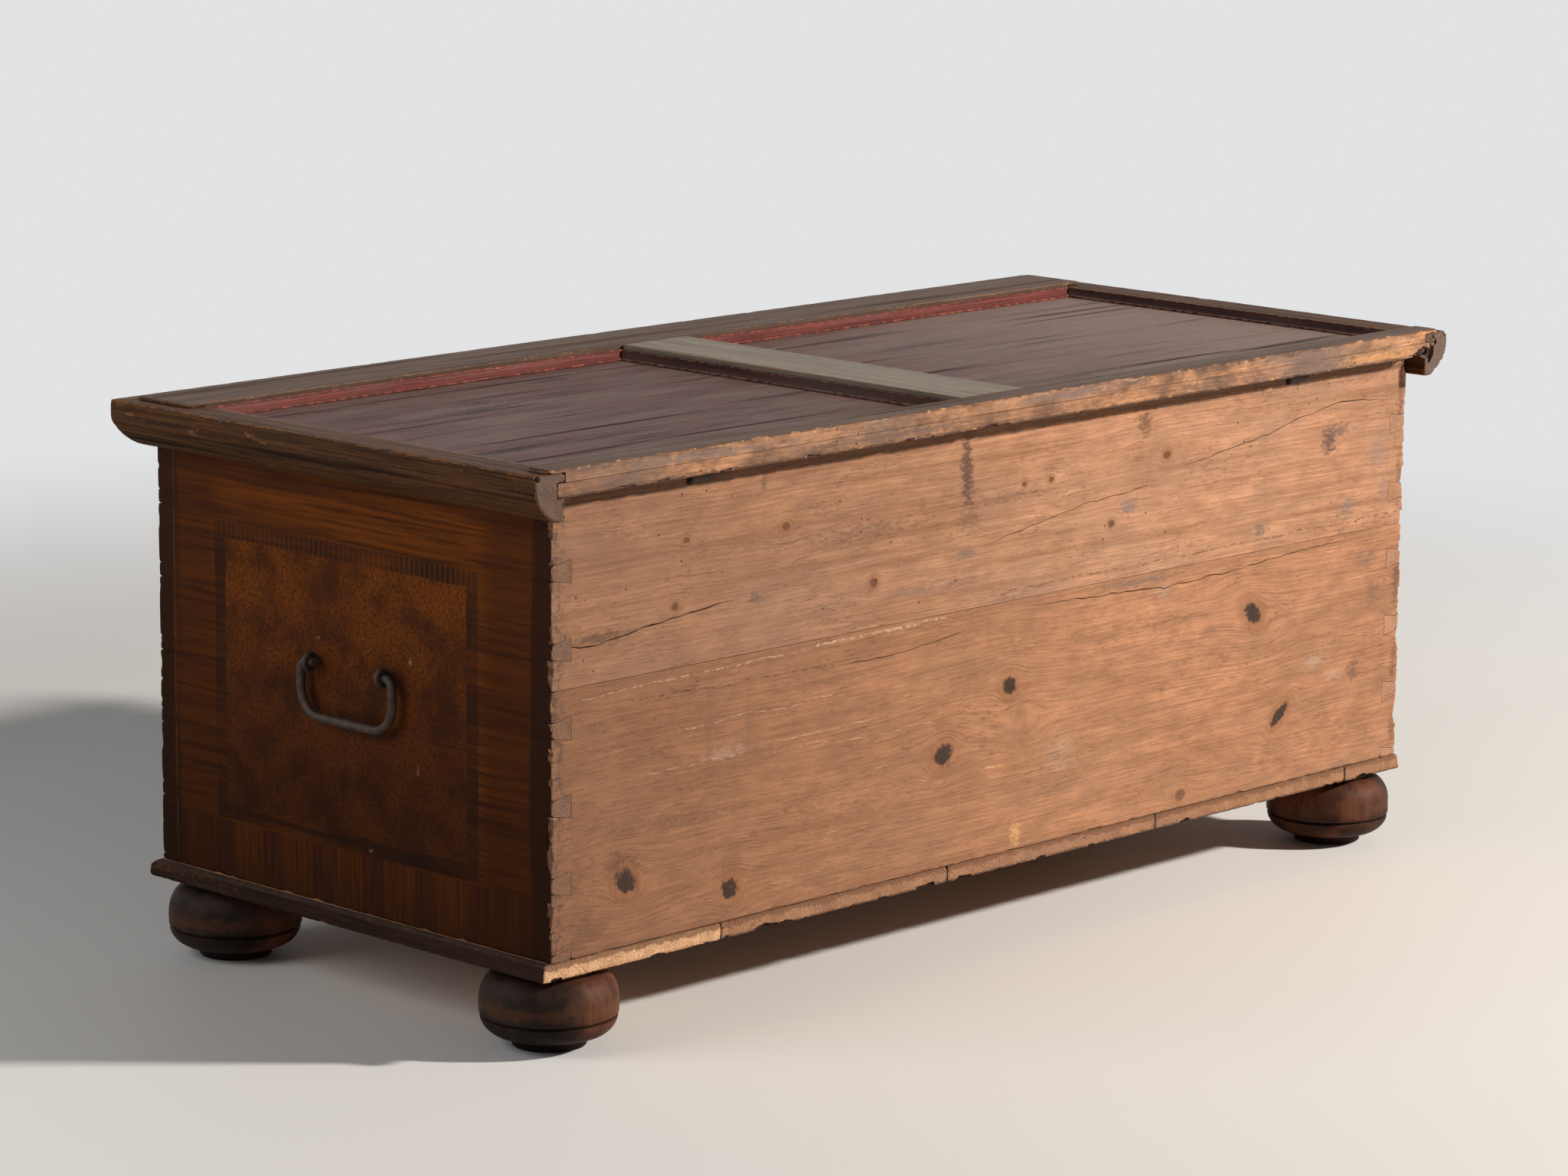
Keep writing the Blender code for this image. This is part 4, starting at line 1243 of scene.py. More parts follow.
def finished(name: str, bm: bmesh.types.BMesh, body: str, materials: Sequence[bpy.types.Material],
             sharp: float = 80.0) -> bpy.types.Object:
    """Makes a piece of a drawn mesh and lets it ride on its body.

    Args:
        name: the piece's name.
        bm: the drawn mesh, which is freed.
        body: the body that carries the piece.
        materials: the piece's materials, in slot order.
        sharp: the angle in degrees above which an edge is shaded sharp.

    Returns:
        The piece.
    """
    mesh = bpy.data.meshes.new(name)
    for face in bm.faces:
        face.smooth = True
    bm.to_mesh(mesh)
    bm.free()
    mesh.set_sharp_from_angle(angle=math.radians(sharp))
    for material in materials:
        mesh.materials.append(material)
    piece = bpy.data.objects.new(name, mesh)
    bpy.context.scene.collection.objects.link(piece)
    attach(piece, body)
    log.info("%s: %d faces on %s", name, len(mesh.polygons), body)
    return piece


@dataclass
class Arrises:
    """The sharp convex edges of a solid, sampled, with the way into the wood at each."""

    points: list[Vector] = field(default_factory=list)
    inward: list[Vector] = field(default_factory=list)
    owner: list[int] = field(default_factory=list)
    lengths: list[tuple[Vector, Vector]] = field(default_factory=list)

    def gather(self, edges: Sequence[bmesh.types.BMEdge], pitch: float) -> KDTree:
        """Samples edges at a pitch.

        Args:
            edges: the sharp edges.
            pitch: the distance between samples.

        Returns:
            A tree of the samples.
        """
        for number, edge in enumerate(edges):
            a, b = (v.co.copy() for v in edge.verts)
            way = -(edge.link_faces[0].normal + edge.link_faces[1].normal).normalized()
            self.lengths.append((a, b))
            count = max(1, math.ceil((b - a).length / pitch))
            for k in range(count + 1):
                self.points.append(a.lerp(b, k / count))
                self.inward.append(way)
                self.owner.append(number)
        return tree_of(self.points)


@dataclass
class Timber:
    """A wooden piece with worn arrises, chips and cracks, made over one solid of the frame."""

    node: str
    body: str
    coats: dict[Side, Finish]
    wear: Wear = Wear()
    cracks: tuple[Crack, ...] = ()
    scoops: tuple[Scoop, ...] = ()
    outer: tuple[Vector, Vector] | None = None
    joint: Finish | None = None
    crease: float = 28.0
    rings: tuple[float, ...] = (0.25, 0.75, 0.30)
    flat_area: float = 0.0004
    crack_depths: Pair = (0.0003, 0.012)
    crack_reach: float = 0.008
    cut_crease: float = 60.0

    def build(self, frame: dict, effects: Effects) -> bpy.types.Object:
        """Makes the piece and hides its solid.

        Args:
            frame: the loaded frame.
            effects: the shared groups.

        Returns:
            The piece.
        """
        bm = merged(frame["nodes"][self.node].data)
        finishes = list(dict.fromkeys([*self.coats.values(), *([self.joint] if self.joint else [])]))
        for face in bm.faces:
            face.material_index = finishes.index(self.coat(face))
        limit = math.radians(self.crease)
        arrises = Arrises()
        sharp = [e for e in bm.edges if len(e.link_faces) == 2 and e.calc_face_angle_signed(0.0) > limit]
        tree = arrises.gather(sharp, SAMPLE_PITCH)
        self.ring(bm, limit)
        self.divide(bm, limit)
        self.erode(bm, arrises, tree)
        piece = finished(f"{self.node}_timber", bm, self.body, [f.material(effects) for f in finishes])
        if self.cracks or self.scoops:
            self.split(piece)
        for polygon in piece.data.polygons:
            polygon.use_smooth = polygon.area < self.flat_area
        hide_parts(self.node)
        return piece

    def coat(self, face: bmesh.types.BMFace) -> Finish:
        """Chooses the finish of a face; one that lies inside a joint is dirty.

        Args:
            face: a face of the solid.

        Returns:
            The finish.
        """
        side = Side.of(face.normal)
        axis = side.value[0]
        low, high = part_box(self.node)
        thin = min(range(3), key=lambda k: high[k] - low[k])
        if self.joint and axis != thin:
            spot = face.calc_center_median()[axis]
            if min(abs(spot - corner[axis]) for corner in self.outer) > TOUCH:
                return self.joint
        return self.coats[side]

    def divide(self, bm: bmesh.types.BMesh, limit: float) -> None:
        """Cuts the strips beside the sharp edges, close enough for wear to follow.

        Args:
            bm: the mesh with its rings.
            limit: the crease angle.
        """
        bm.normal_update()
        by_count: dict[int, dict] = {}
        for edge in bm.edges:
            if len(edge.link_faces) == 2 and abs(edge.calc_face_angle_signed(0.0)) > limit:
                count = int(edge.calc_length() / self.wear.pitch)
                by_count.setdefault(count, {}).update(dict.fromkeys(self.rails(edge)))
        for count, edges in by_count.items():
            if count:
                bmesh.ops.subdivide_edges(bm, edges=list(edges), cuts=count, use_only_quads=True)

    def rails(self, edge: bmesh.types.BMEdge) -> list[bmesh.types.BMEdge]:
        """Finds the ring edges that run beside a sharp edge on both its sides.

        Args:
            edge: the sharp edge.

        Returns:
            The edge and those beside it.
        """
        found = [edge]
        for face in edge.link_faces:
            here, at = edge, face
            for _ in self.rings:
                if len(at.verts) != 4:
                    break
                here = next(e for e in at.edges if not set(e.verts) & set(here.verts))
                found.append(here)
                at = next((f for f in here.link_faces if f is not at), at)
        return found

    def ring(self, bm: bmesh.types.BMesh, limit: float) -> None:
        """Insets three rings round each smooth patch, so that wear stays near the arris.

        Args:
            bm: the mesh.
            limit: the crease angle.
        """
        bm.normal_update()
        left = dict.fromkeys(bm.faces)
        patches: list[list] = []
        while left:
            stack = [next(iter(left))]
            patch = [stack[0]]
            del left[stack[0]]
            while stack:
                face = stack.pop()
                for edge in face.edges:
                    if len(edge.link_faces) == 2 and abs(edge.calc_face_angle_signed(0.0)) <= limit:
                        for near in edge.link_faces:
                            if near in left:
                                del left[near]
                                patch.append(near)
                                stack.append(near)
            patches.append(patch)
        for patch in patches:
            members = set(patch)
            rim = [e for f in patch for e in f.edges if any(n not in members for n in e.link_faces)]
            width = 2 * sum(f.calc_area() for f in patch) / max(sum(e.calc_length() for e in rim), 0.001)
            band = min(self.wear.band, self.wear.patch_share * width,
                       self.wear.edge_share * self.shortest(rim))
            for share in self.rings:
                bmesh.ops.inset_region(bm, faces=patch, thickness=band * share, use_even_offset=True,
                                       use_boundary=True)

    def shortest(self, rim: list[bmesh.types.BMEdge]) -> float:
        """Finds the shortest edge of a patch's rim that ends in a corner, so round holes don't count.

        Args:
            rim: the rim's edges.

        Returns:
            Its length.
        """
        meeting: dict = {}
        for edge in rim:
            for vert in edge.verts:
                meeting.setdefault(vert, []).append(edge)
        lengths = [self.wear.band * 4]
        for vert, edges in meeting.items():
            ways = [(e.other_vert(vert).co - vert.co).normalized() for e in edges]
            if len(ways) == 2 and ways[0].dot(ways[1]) > -0.8:
                lengths += [e.calc_length() for e in edges]
        return min(lengths)

    def exposed(self, spot: Vector) -> bool:
        """Tells whether a place is on an outer arris, and not on one that a joint hides."""
        if self.outer is None:
            return True
        low, high = self.outer
        touching = sum(min(abs(spot[k] - low[k]), abs(spot[k] - high[k])) < TOUCH for k in range(3))
        return touching > 1

    def broken(self, arrises: Arrises) -> list[Chip]:
        """Scatters chips along the exposed arrises, always the same ones for one piece.

        Args:
            arrises: the piece's arrises.

        Returns:
            The chips.
        """
        dice = random.Random(self.node)
        chips: list[Chip] = []
        for a, b in arrises.lengths:
            many = (b - a).length * self.wear.chips_per_metre
            if not self.exposed((a + b) / 2):
                continue
            for _ in range(int(many) + (dice.random() < many % 1.0)):
                spot = a.lerp(b, dice.random())
                chips.append(Chip(tuple(spot), dice.uniform(*self.wear.chip_reach),
                                  dice.uniform(*self.wear.chip_depth)))
        return chips

    def erode(self, bm: bmesh.types.BMesh, arrises: Arrises, tree: KDTree) -> None:
        """Moves the points near the arrises into the wood, and marks where they wore or chipped.

        Args:
            bm: the mesh.
            arrises: the piece's arrises.
            tree: their samples.
        """
        worn = bm.verts.layers.float.new("wear")
        chipped = bm.verts.layers.float.new("chip")
        bm.verts.layers.float.new("crack")
        chips = self.broken(arrises)
        dice = random.Random(self.node + "_jag")
        chip_tree = tree_of([Vector(chip.at) for chip in chips])
        far = max((c.reach for c in chips), default=0.0)
        low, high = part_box(self.node)
        band = self.wear.band
        for vert in bm.verts:
            co = vert.co.copy()
            nearest: dict[int, tuple[float, int]] = {}
            for _, k, gap in tree.find_range(co, band):
                owner = arrises.owner[k]
                if owner not in nearest or gap < nearest[owner][0]:
                    nearest[owner] = (gap, k)
            if not nearest:
                continue
            loss = 0.0
            for _, k, gap in chip_tree.find_range(co, far) if chips else ():
                chip = chips[k]
                if gap < chip.reach:
                    bowl = chip.depth * (1 - (gap / chip.reach) ** 2)
                    loss = max(loss, bowl * dice.uniform(*self.wear.chip_jag))
            amount = self.wear.rub[0] + self.wear.rub[1] * abs(noise.noise(co * self.wear.rub_scale))
            move = Vector()
            edge = 0.0
            for gap, k in nearest.values():
                fall = max(0.0, 1 - gap / band)
                open_air = self.exposed(arrises.points[k])
                edge = max(edge, fall if open_air else 0.0)
                rub = self.wear.rounding * amount if open_air else self.wear.joint
                move += arrises.inward[k] * (rub * fall * fall)
            gap, k = min(nearest.values())
            loss *= min(1.0, self.wear.chip_fade * max(0.0, 1 - gap / band))
            co += move + arrises.inward[k] * loss
            vert.co = [min(max(co[k], low[k]), high[k]) for k in range(3)]
            vert[worn] = edge
            vert[chipped] = min(1.0, loss / self.wear.chip_full)

    def split(self, piece: bpy.types.Object) -> None:
        """Cuts the cracks into the back face of a piece, and the scoops out of its arrises.

        Args:
            piece: the piece, whose outer face is its furthest along +Y.
        """
        low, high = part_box(self.node)
        face = high.y
        cutter = bmesh.new()
        cutter.verts.layers.float.new("chip")
        dice = random.Random(self.node + "_crack")
        for scoop in self.scoops:
            if scoop.reaches(low, high):
                scoop.lump(cutter)
        for crack in self.cracks:
            loft(cutter, self.wedge(crack, face, dice))
        mesh = bpy.data.meshes.new(self.node + "_cracks")
        cutter.to_mesh(mesh)
        cutter.free()
        tool = bpy.data.objects.new(self.node + "_cracks", mesh)
        bpy.context.scene.collection.objects.link(tool)
        cut = piece.modifiers.new("cracks", "BOOLEAN")
        cut.operation = "DIFFERENCE"
        cut.solver = "EXACT"
        cut.use_self = True
        cut.object = tool
        bpy.context.view_layer.update()
        done = bpy.data.meshes.new_from_object(piece.evaluated_get(bpy.context.evaluated_depsgraph_get()))
        old = piece.data
        piece.modifiers.clear()
        piece.data = done
        bpy.data.meshes.remove(old)
        bpy.data.objects.remove(tool)
        bpy.data.meshes.remove(mesh)
        done.set_sharp_from_angle(angle=math.radians(self.cut_crease))
        self.darken(done, face)

    def darken(self, done: bpy.types.Mesh, face: float) -> None:
        """Marks the points inside the cracks, and keeps the cracks' edges sharp.

        Args:
            done: the cut mesh.
            face: where the cracked face is along Y.
        """
        runs = [Vector((point.x, face, point.z)) for crack in self.cracks for point in crack.fine()]
        if not runs:
            return
        tree = tree_of(runs)
        layer = done.attributes["crack"].data
        cut_points = set()
        for k, vert in enumerate(done.vertices):
            inside = self.crack_depths[0] < face - vert.co.y < self.crack_depths[1]
            if inside and tree.find((vert.co.x, face, vert.co.z))[2] < self.crack_reach:
                layer[k].value = 1.0
                cut_points.add(k)
        for polygon in done.polygons:
            if cut_points.intersection(polygon.vertices):
                for k in polygon.loop_indices:
                    done.edges[done.loops[k].edge_index].use_edge_sharp = True

    @staticmethod
    def wedge(crack: Crack, face: float, dice: random.Random) -> list[list[Vector]]:
        """Draws the rings of a crack's cutter, a ragged wedge that tapers at both ends.

        Args:
            crack: the crack.
            face: where the face is along Y.
            dice: the piece's own chance.

        Returns:
            The rings, each of three points.
        """
        fine = crack.fine()
        rings = []
        for k, point in enumerate(fine):
            share = k / (len(fine) - 1)
            full = min(1.0, crack.taper * share + crack.tip, crack.taper * (1 - share) + crack.tip)
            half = crack.width / 2 * full * dice.uniform(0.6, 1.25)
            depth = crack.depth * full * dice.uniform(0.8, 1.1)
            mid = point + Vector((0.0, 0.0, dice.uniform(-crack.jitter, crack.jitter)))
            mouth = half * (1 + crack.over / depth)
            rings.append([
                Vector((mid.x, face + crack.over, mid.z + mouth)),
                Vector((mid.x, face + crack.over, mid.z - mouth)),
                Vector((mid.x, face - depth, mid.z - half * crack.root)),
            ])
        return rings


def coats(base: Finish, **sides: Finish) -> dict[Side, Finish]:
    """Returns a finish for each side: those given by name, and the base for the rest."""
    named = {Side[name.upper()]: finish for name, finish in sides.items()}
    return {**named, **{side: base for side in Side if side not in named}}


def pin_gaps(*levels: float) -> tuple[Stroke, ...]:
    """Returns painted shade in the gaps beside the right pins, by the heights where they start."""
    return tuple(Stroke((0.6325, level), (0.6315, level + 0.022), 0.0014, (0.050, 0.026, 0.018), 0.95)
                 for level in levels)


FRAME_Z = (0.158, 0.464)
INSIDE = Pine(
    "inside_pine", Grain.LONG_UPRIGHT, pith=(0.20, 0.45), early=(0.46, 0.27, 0.145),
    late=(0.33, 0.165, 0.08), grey_share=0.25, seed=4.0)
INSIDE_END = Pine(
    "inside_end_pine", Grain.DEEP_UPRIGHT, pith=(0.24, 0.75), early=(0.45, 0.262, 0.14),
    late=(0.32, 0.16, 0.078), grey_share=0.25, seed=6.0)
INSIDE_LID = Pine(
    "inside_lid_pine", Grain.LONG_FLAT, pith=(0.05, 0.70), early=(0.44, 0.25, 0.135),
    late=(0.31, 0.152, 0.074), grey_share=0.3, seed=8.0)
JOINT = Pine(
    "joint_dirt", Grain.LONG_UPRIGHT, early=(0.040, 0.022, 0.014), late=(0.026, 0.014, 0.009),
    grey=(0.030, 0.020, 0.015), pale=(0.055, 0.032, 0.020), soil=(0.018, 0.010, 0.007), seed=1.0)
NEAR_PINS = Pine(
    "right_pin_end_grain", Grain.DEEP_UPRIGHT, pith=(0.33, 0.56), ring=0.0026, early=(0.205, 0.104, 0.062),
    late=(0.150, 0.070, 0.040), grey=(0.165, 0.104, 0.076), grey_share=0.6, grime_share=0.25, seed=2.0)
FAR_PINS = Pine(
    "left_pin_end_grain", Grain.DEEP_UPRIGHT, pith=(0.33, 0.56), ring=0.0026, early=(0.395, 0.190, 0.098),
    late=(0.290, 0.128, 0.062), grey=(0.300, 0.182, 0.130), grey_share=0.6, grime_share=0.25, seed=2.5)
BACK_UPPER = Pine(
    "back_upper_pine", Grain.LONG_UPRIGHT, pith=(0.20, 0.16), ring=0.0046,
    early=(0.452, 0.225, 0.122), grey=(0.306, 0.182, 0.121), grey_share=0.54, banding=0.62,
    # eaves=0.5516 paints the lid overhang's shadow along the top of the back
    heart=(0.115, 0.046, 0.022), near_dusk=0.46, far_dusk=0.12, worm=0.3, ring_share=0.38, eaves=0.5516,
    seed=11.0,
    knots=(
        Knot(0.334, 0.482, 0.0048),
        Knot(0.486, 0.423, 0.0042),
        Knot(0.208, 0.409, 0.0052),
        Knot(-0.242, 0.486, 0.0048),
        Knot(-0.154, 0.423, 0.0042),
        Knot(-0.016, 0.482, 0.0030),
        Knot(-0.058, 0.482, 0.0034),
        Knot(0.471, 0.486, 0.0034),
    ),
    smudges=(
        Smudge(-0.516, 0.470, 0.015, 0.020, (0.095, 0.052, 0.038), 0.95),
        Smudge(-0.530, 0.480, 0.026, 0.010, (0.150, 0.084, 0.062), 0.8),
        Smudge(0.073, 0.520, 0.009, 0.034, (0.090, 0.046, 0.030), 0.95),
        Smudge(0.070, 0.492, 0.010, 0.030, (0.105, 0.055, 0.036), 0.95),
        Smudge(0.225, 0.462, 0.080, 0.010, (0.120, 0.058, 0.034), 0.55),
        Smudge(0.010, 0.470, 0.060, 0.008, (0.120, 0.058, 0.034), 0.45),
        Smudge(-0.605, 0.446, 0.024, 0.028, (0.27, 0.165, 0.130), 0.6),
        Smudge(-0.620, 0.402, 0.018, 0.022, (0.24, 0.140, 0.110), 0.6),
        Smudge(-0.572, 0.476, 0.020, 0.012, (0.25, 0.140, 0.095), 0.5),
        Smudge(0.066, 0.456, 0.020, 0.014, (0.16, 0.082, 0.050), 0.55),
        Smudge(0.070, 0.420, 0.018, 0.008, (0.200, 0.122, 0.092), 0.8),
        Smudge(-0.400, 0.386, 0.011, 0.011, (0.170, 0.112, 0.078), 0.85),
        Smudge(-0.552, 0.392, 0.018, 0.012, (0.210, 0.142, 0.106), 0.85),
        Smudge(-0.180, 0.438, 0.016, 0.010, (0.215, 0.138, 0.118), 0.9),
        Smudge(0.366, 0.534, 0.005, 0.014, (0.11, 0.058, 0.036), 0.7),
        Smudge(-0.205, 0.525, 0.011, 0.018, (0.140, 0.062, 0.034), 0.85),
        Smudge(0.130, 0.392, 0.075, 0.008, (0.230, 0.128, 0.084), 0.7),
        Smudge(0.375, 0.416, 0.014, 0.007, (0.150, 0.088, 0.068), 0.85),
        Smudge(0.585, 0.406, 0.050, 0.007, (0.105, 0.052, 0.032), 0.8),
        Smudge(-0.642, 0.505, 0.007, 0.044, (0.130, 0.060, 0.034), 0.70),
        Smudge(-0.642, 0.415, 0.006, 0.036, (0.140, 0.066, 0.038), 0.65),
        Smudge(-0.560, 0.535, 0.085, 0.008, (0.195, 0.094, 0.052), 0.50),
        Smudge(-0.626, 0.505, 0.022, 0.026, (0.205, 0.100, 0.056), 0.45),
    ),
    strokes=(
        Stroke((0.410, 0.426), (0.300, 0.450), 0.0011, (0.15, 0.075, 0.045), 0.7),
        Stroke((0.620, 0.4035), (0.400, 0.418), 0.0015, (0.14, 0.070, 0.042), 0.6),
        Stroke((-0.150, 0.416), (-0.640, 0.424), 0.0010, (0.24, 0.120, 0.070), 0.5),
        Stroke((0.020, 0.372), (-0.640, 0.376), 0.0016, (0.13, 0.066, 0.040), 0.85),
        Stroke((0.642, 0.364), (0.642, 0.550), 0.0130, (0.110, 0.066, 0.052), 0.90),
        *pin_gaps(0.470, 0.392),
        # Painted shade in the gaps beside the left pins
        Stroke((-0.6340, 0.448), (-0.6325, 0.470), 0.0015, (0.070, 0.034, 0.022), 0.9),
        Stroke((-0.6350, 0.386), (-0.6330, 0.402), 0.0015, (0.070, 0.034, 0.022), 0.9),
    ),
)
BACK_LOWER = Pine(
    # near_dusk paints the shade of the light's fall-off towards the near end
    "back_lower_pine", Grain.LONG_UPRIGHT, pith=(0.03, 0.36), ring=0.0046, near_dusk=0.54, far_dusk=0.16,
    early=(0.414, 0.193, 0.097), grey=(0.262, 0.143, 0.083),
    ring_share=0.42, grey_share=0.36, banding=0.40, seed=3.0,
    knots=(
        Knot(0.002, 0.273, 0.0098, 1.15),
        Knot(0.102, 0.216, 0.0112, 1.35, 0.15),
        Knot(-0.392, 0.295, 0.0115, 1.30, -0.35),
        Knot(-0.441, 0.175, 0.0085, 1.75, 0.6),
        Knot(0.552, 0.163, 0.0130, 1.15, -0.2),
        Knot(0.410, 0.130, 0.0105, 1.10),
        Knot(-0.276, 0.112, 0.0070, 1.30, dark=0.6),
        Knot(-0.018, 0.236, 0.0100, 1.80, dark=0.08),
    ),
    smudges=(
        Smudge(-0.500, 0.226, 0.020, 0.009, (0.46, 0.320, 0.240), 0.40),
        Smudge(-0.535, 0.207, 0.018, 0.008, (0.46, 0.320, 0.240), 0.40),
        Smudge(-0.570, 0.206, 0.014, 0.014, (0.150, 0.076, 0.046), 0.8),
        Smudge(-0.600, 0.290, 0.020, 0.020, (0.170, 0.086, 0.050), 0.6),
        Smudge(-0.590, 0.330, 0.024, 0.010, (0.180, 0.098, 0.064), 0.6),
        Smudge(0.480, 0.212, 0.090, 0.008, (0.165, 0.076, 0.042), 0.6),
        Smudge(0.440, 0.300, 0.006, 0.045, (0.180, 0.090, 0.054), 0.5),
        Smudge(0.385, 0.290, 0.006, 0.035, (0.180, 0.090, 0.054), 0.45),
        Smudge(0.420, 0.268, 0.030, 0.008, (0.38, 0.250, 0.185), 0.5),
        Smudge(-0.200, 0.355, 0.070, 0.007, (0.190, 0.112, 0.076), 0.8),
        Smudge(-0.240, 0.340, 0.014, 0.009, (0.34, 0.222, 0.165), 0.6),
        Smudge(-0.012, 0.114, 0.010, 0.015, (0.60, 0.310, 0.130), 0.75),
        Smudge(0.560, 0.180, 0.024, 0.012, (0.120, 0.056, 0.034), 0.7),
        Smudge(0.610, 0.120, 0.030, 0.020, (0.130, 0.060, 0.034), 0.6),
        Smudge(0.330, 0.122, 0.028, 0.010, (0.46, 0.240, 0.118), 0.25),
        Smudge(-0.080, 0.190, 0.030, 0.020, (0.40, 0.280, 0.190), 0.35),
        Smudge(-0.550, 0.101, 0.020, 0.010, (0.20, 0.118, 0.095), 0.6),
        Smudge(-0.642, 0.300, 0.007, 0.034, (0.120, 0.056, 0.032), 0.75),
        Smudge(-0.642, 0.205, 0.007, 0.030, (0.130, 0.060, 0.034), 0.70),
        Smudge(-0.642, 0.130, 0.006, 0.022, (0.140, 0.064, 0.036), 0.65),
        Smudge(-0.628, 0.255, 0.020, 0.022, (0.200, 0.096, 0.054), 0.45),
        Smudge(-0.622, 0.190, 0.018, 0.018, (0.195, 0.094, 0.054), 0.40),
    ),
    strokes=(
        Stroke((0.608, 0.350), (0.100, 0.3585), 0.0011, (0.58, 0.390, 0.270), 0.6),
        Stroke((0.290, 0.3565), (0.100, 0.3600), 0.0014, (0.60, 0.410, 0.290), 0.7),
        Stroke((0.560, 0.339), (0.260, 0.333), 0.0013, (0.090, 0.045, 0.027), 0.9),
        Stroke((-0.400, 0.296), (-0.640, 0.306), 0.0009, (0.25, 0.122, 0.070), 0.55),
        Stroke((-0.480, 0.245), (-0.640, 0.262), 0.0008, (0.26, 0.130, 0.076), 0.5),
        Stroke((0.470, 0.300), (0.250, 0.303), 0.0008, (0.64, 0.430, 0.290), 0.6),
        Stroke((0.520, 0.262), (0.200, 0.270), 0.0007, (0.64, 0.430, 0.290), 0.5),
        Stroke((0.360, 0.258), (0.120, 0.252), 0.0007, (0.64, 0.430, 0.290), 0.5),
        Stroke((0.040, 0.192), (0.010, 0.190), 0.0018, (0.70, 0.420, 0.170), 0.9),
        Stroke((0.642, 0.100), (0.642, 0.362), 0.0130, (0.105, 0.061, 0.046), 0.90),
        *pin_gaps(0.316, 0.240, 0.164),
    ),
)
RIGHT_END = InlayPaint(
    "right_end_paint", Grain.DEEP_UPRIGHT, frames=((-0.202, 0.189, *FRAME_Z),), seed=1.0,
    smudges=(
        Smudge(0.092, 0.362, 0.003, 0.004, (0.25, 0.140, 0.066), 0.8),
        Smudge(0.102, 0.256, 0.003, 0.008, (0.21, 0.110, 0.048), 0.8),
        Smudge(-0.044, 0.366, 0.004, 0.002, (0.25, 0.135, 0.060), 0.7),
        Smudge(0.032, 0.163, 0.004, 0.003, (0.22, 0.120, 0.054), 0.7),
        Smudge(0.010, 0.290, 0.060, 0.016, (0.025, 0.0090, 0.0050), 0.45),
    ),
    strokes=(Stroke((0.124, 0.289), (0.172, 0.288), 0.0009, (0.014, 0.006, 0.004), 0.9),),
)
LEFT_END = InlayPaint("left_end_paint", Grain.DEEP_UPRIGHT, frames=((-0.196, 0.196, *FRAME_Z),), seed=7.0)
FRONT = InlayPaint(
    "front_paint", Grain.LONG_UPRIGHT, half=0.65, seed=5.0,
    frames=((-0.585, -0.030, *FRAME_Z), (0.030, 0.585, *FRAME_Z)))
BASE_EDGE = BrushedPaint(
    "base_edge_paint", Grain.DEEP_FLAT, sheen=0.05, paint=(0.036, 0.0165, 0.0100),
    shade=(0.015, 0.0072, 0.0048), wood=(0.075, 0.034, 0.018), wear=0.16, spots=0.3,
    dust=(0.044, 0.026, 0.018), gloss=0.7, seed=3.0)
BASE_FRESH = BasePine(
    "base_fresh_pine", Grain.DEEP_FLAT, pith=(0.54, 0.15), ring=0.003, early=(0.60, 0.345, 0.185),
    late=(0.45, 0.215, 0.10), fresh=(0.66, 0.39, 0.20), grey_share=0.15, grime_share=0.3, worm=0.7,
    seed=9.0)
BASE_DULL = BasePine(
    "base_dull_pine", Grain.DEEP_FLAT, pith=(0.0, 0.20), ring=0.0034, early=(0.33, 0.158, 0.080),
    late=(0.21, 0.090, 0.043), fresh=(0.44, 0.220, 0.100), grey_share=0.35, grime_share=0.7, worm=0.5,
    seed=12.0)
LID_PAINT = BrushedPaint(
    "lid_paint_brown", Grain.LONG_FLAT, sheen=0.062, paint=(0.124, 0.056, 0.045),
    shade=(0.051, 0.0232, 0.0188), wood=(0.24, 0.12, 0.070), dust=(0.160, 0.106, 0.088),
    # haze paints light on the far end of the lid
    line=(0.018, 0.010, 0.009), wear=0.2, spots=0.12, dust_share=0.5, haze=0.76, line_share=0.85,
    gloss=0.46, relief=0.0014, seed=2.0,
    smudges=(
        Smudge(0.570, 0.145, 0.070, 0.013, (0.016, 0.0095, 0.0085), 0.85),
        Smudge(0.440, 0.147, 0.090, 0.008, (0.018, 0.0105, 0.0095), 0.75),
        Smudge(0.425, -0.055, 0.070, 0.013, (0.017, 0.0098, 0.0085), 0.80),
        Smudge(0.398, -0.090, 0.034, 0.016, (0.018, 0.0105, 0.0092), 0.75),
        Smudge(0.560, -0.095, 0.060, 0.026, (0.024, 0.0140, 0.0120), 0.50),
        Smudge(0.235, -0.149, 0.030, 0.010, (0.018, 0.0105, 0.0092), 0.80),
        Smudge(0.330, 0.060, 0.120, 0.012, (0.030, 0.0160, 0.0140), 0.45),
        Smudge(-0.220, -0.052, 0.100, 0.010, (0.020, 0.0120, 0.0110), 0.75),
        Smudge(-0.240, -0.142, 0.080, 0.010, (0.022, 0.0130, 0.0120), 0.65),
        Smudge(-0.180, 0.205, 0.120, 0.008, (0.030, 0.0170, 0.0150), 0.50),
    ),
    strokes=(
        Stroke((0.622, 0.144), (0.110, 0.149), 0.0016, (0.012, 0.0075, 0.0068), 0.9),
        Stroke((0.520, -0.044), (0.150, -0.047), 0.0015, (0.014, 0.0085, 0.0078), 0.8),
        Stroke((-0.100, -0.047), (-0.500, -0.056), 0.0015, (0.016, 0.0095, 0.0088), 0.8),
    ),
)
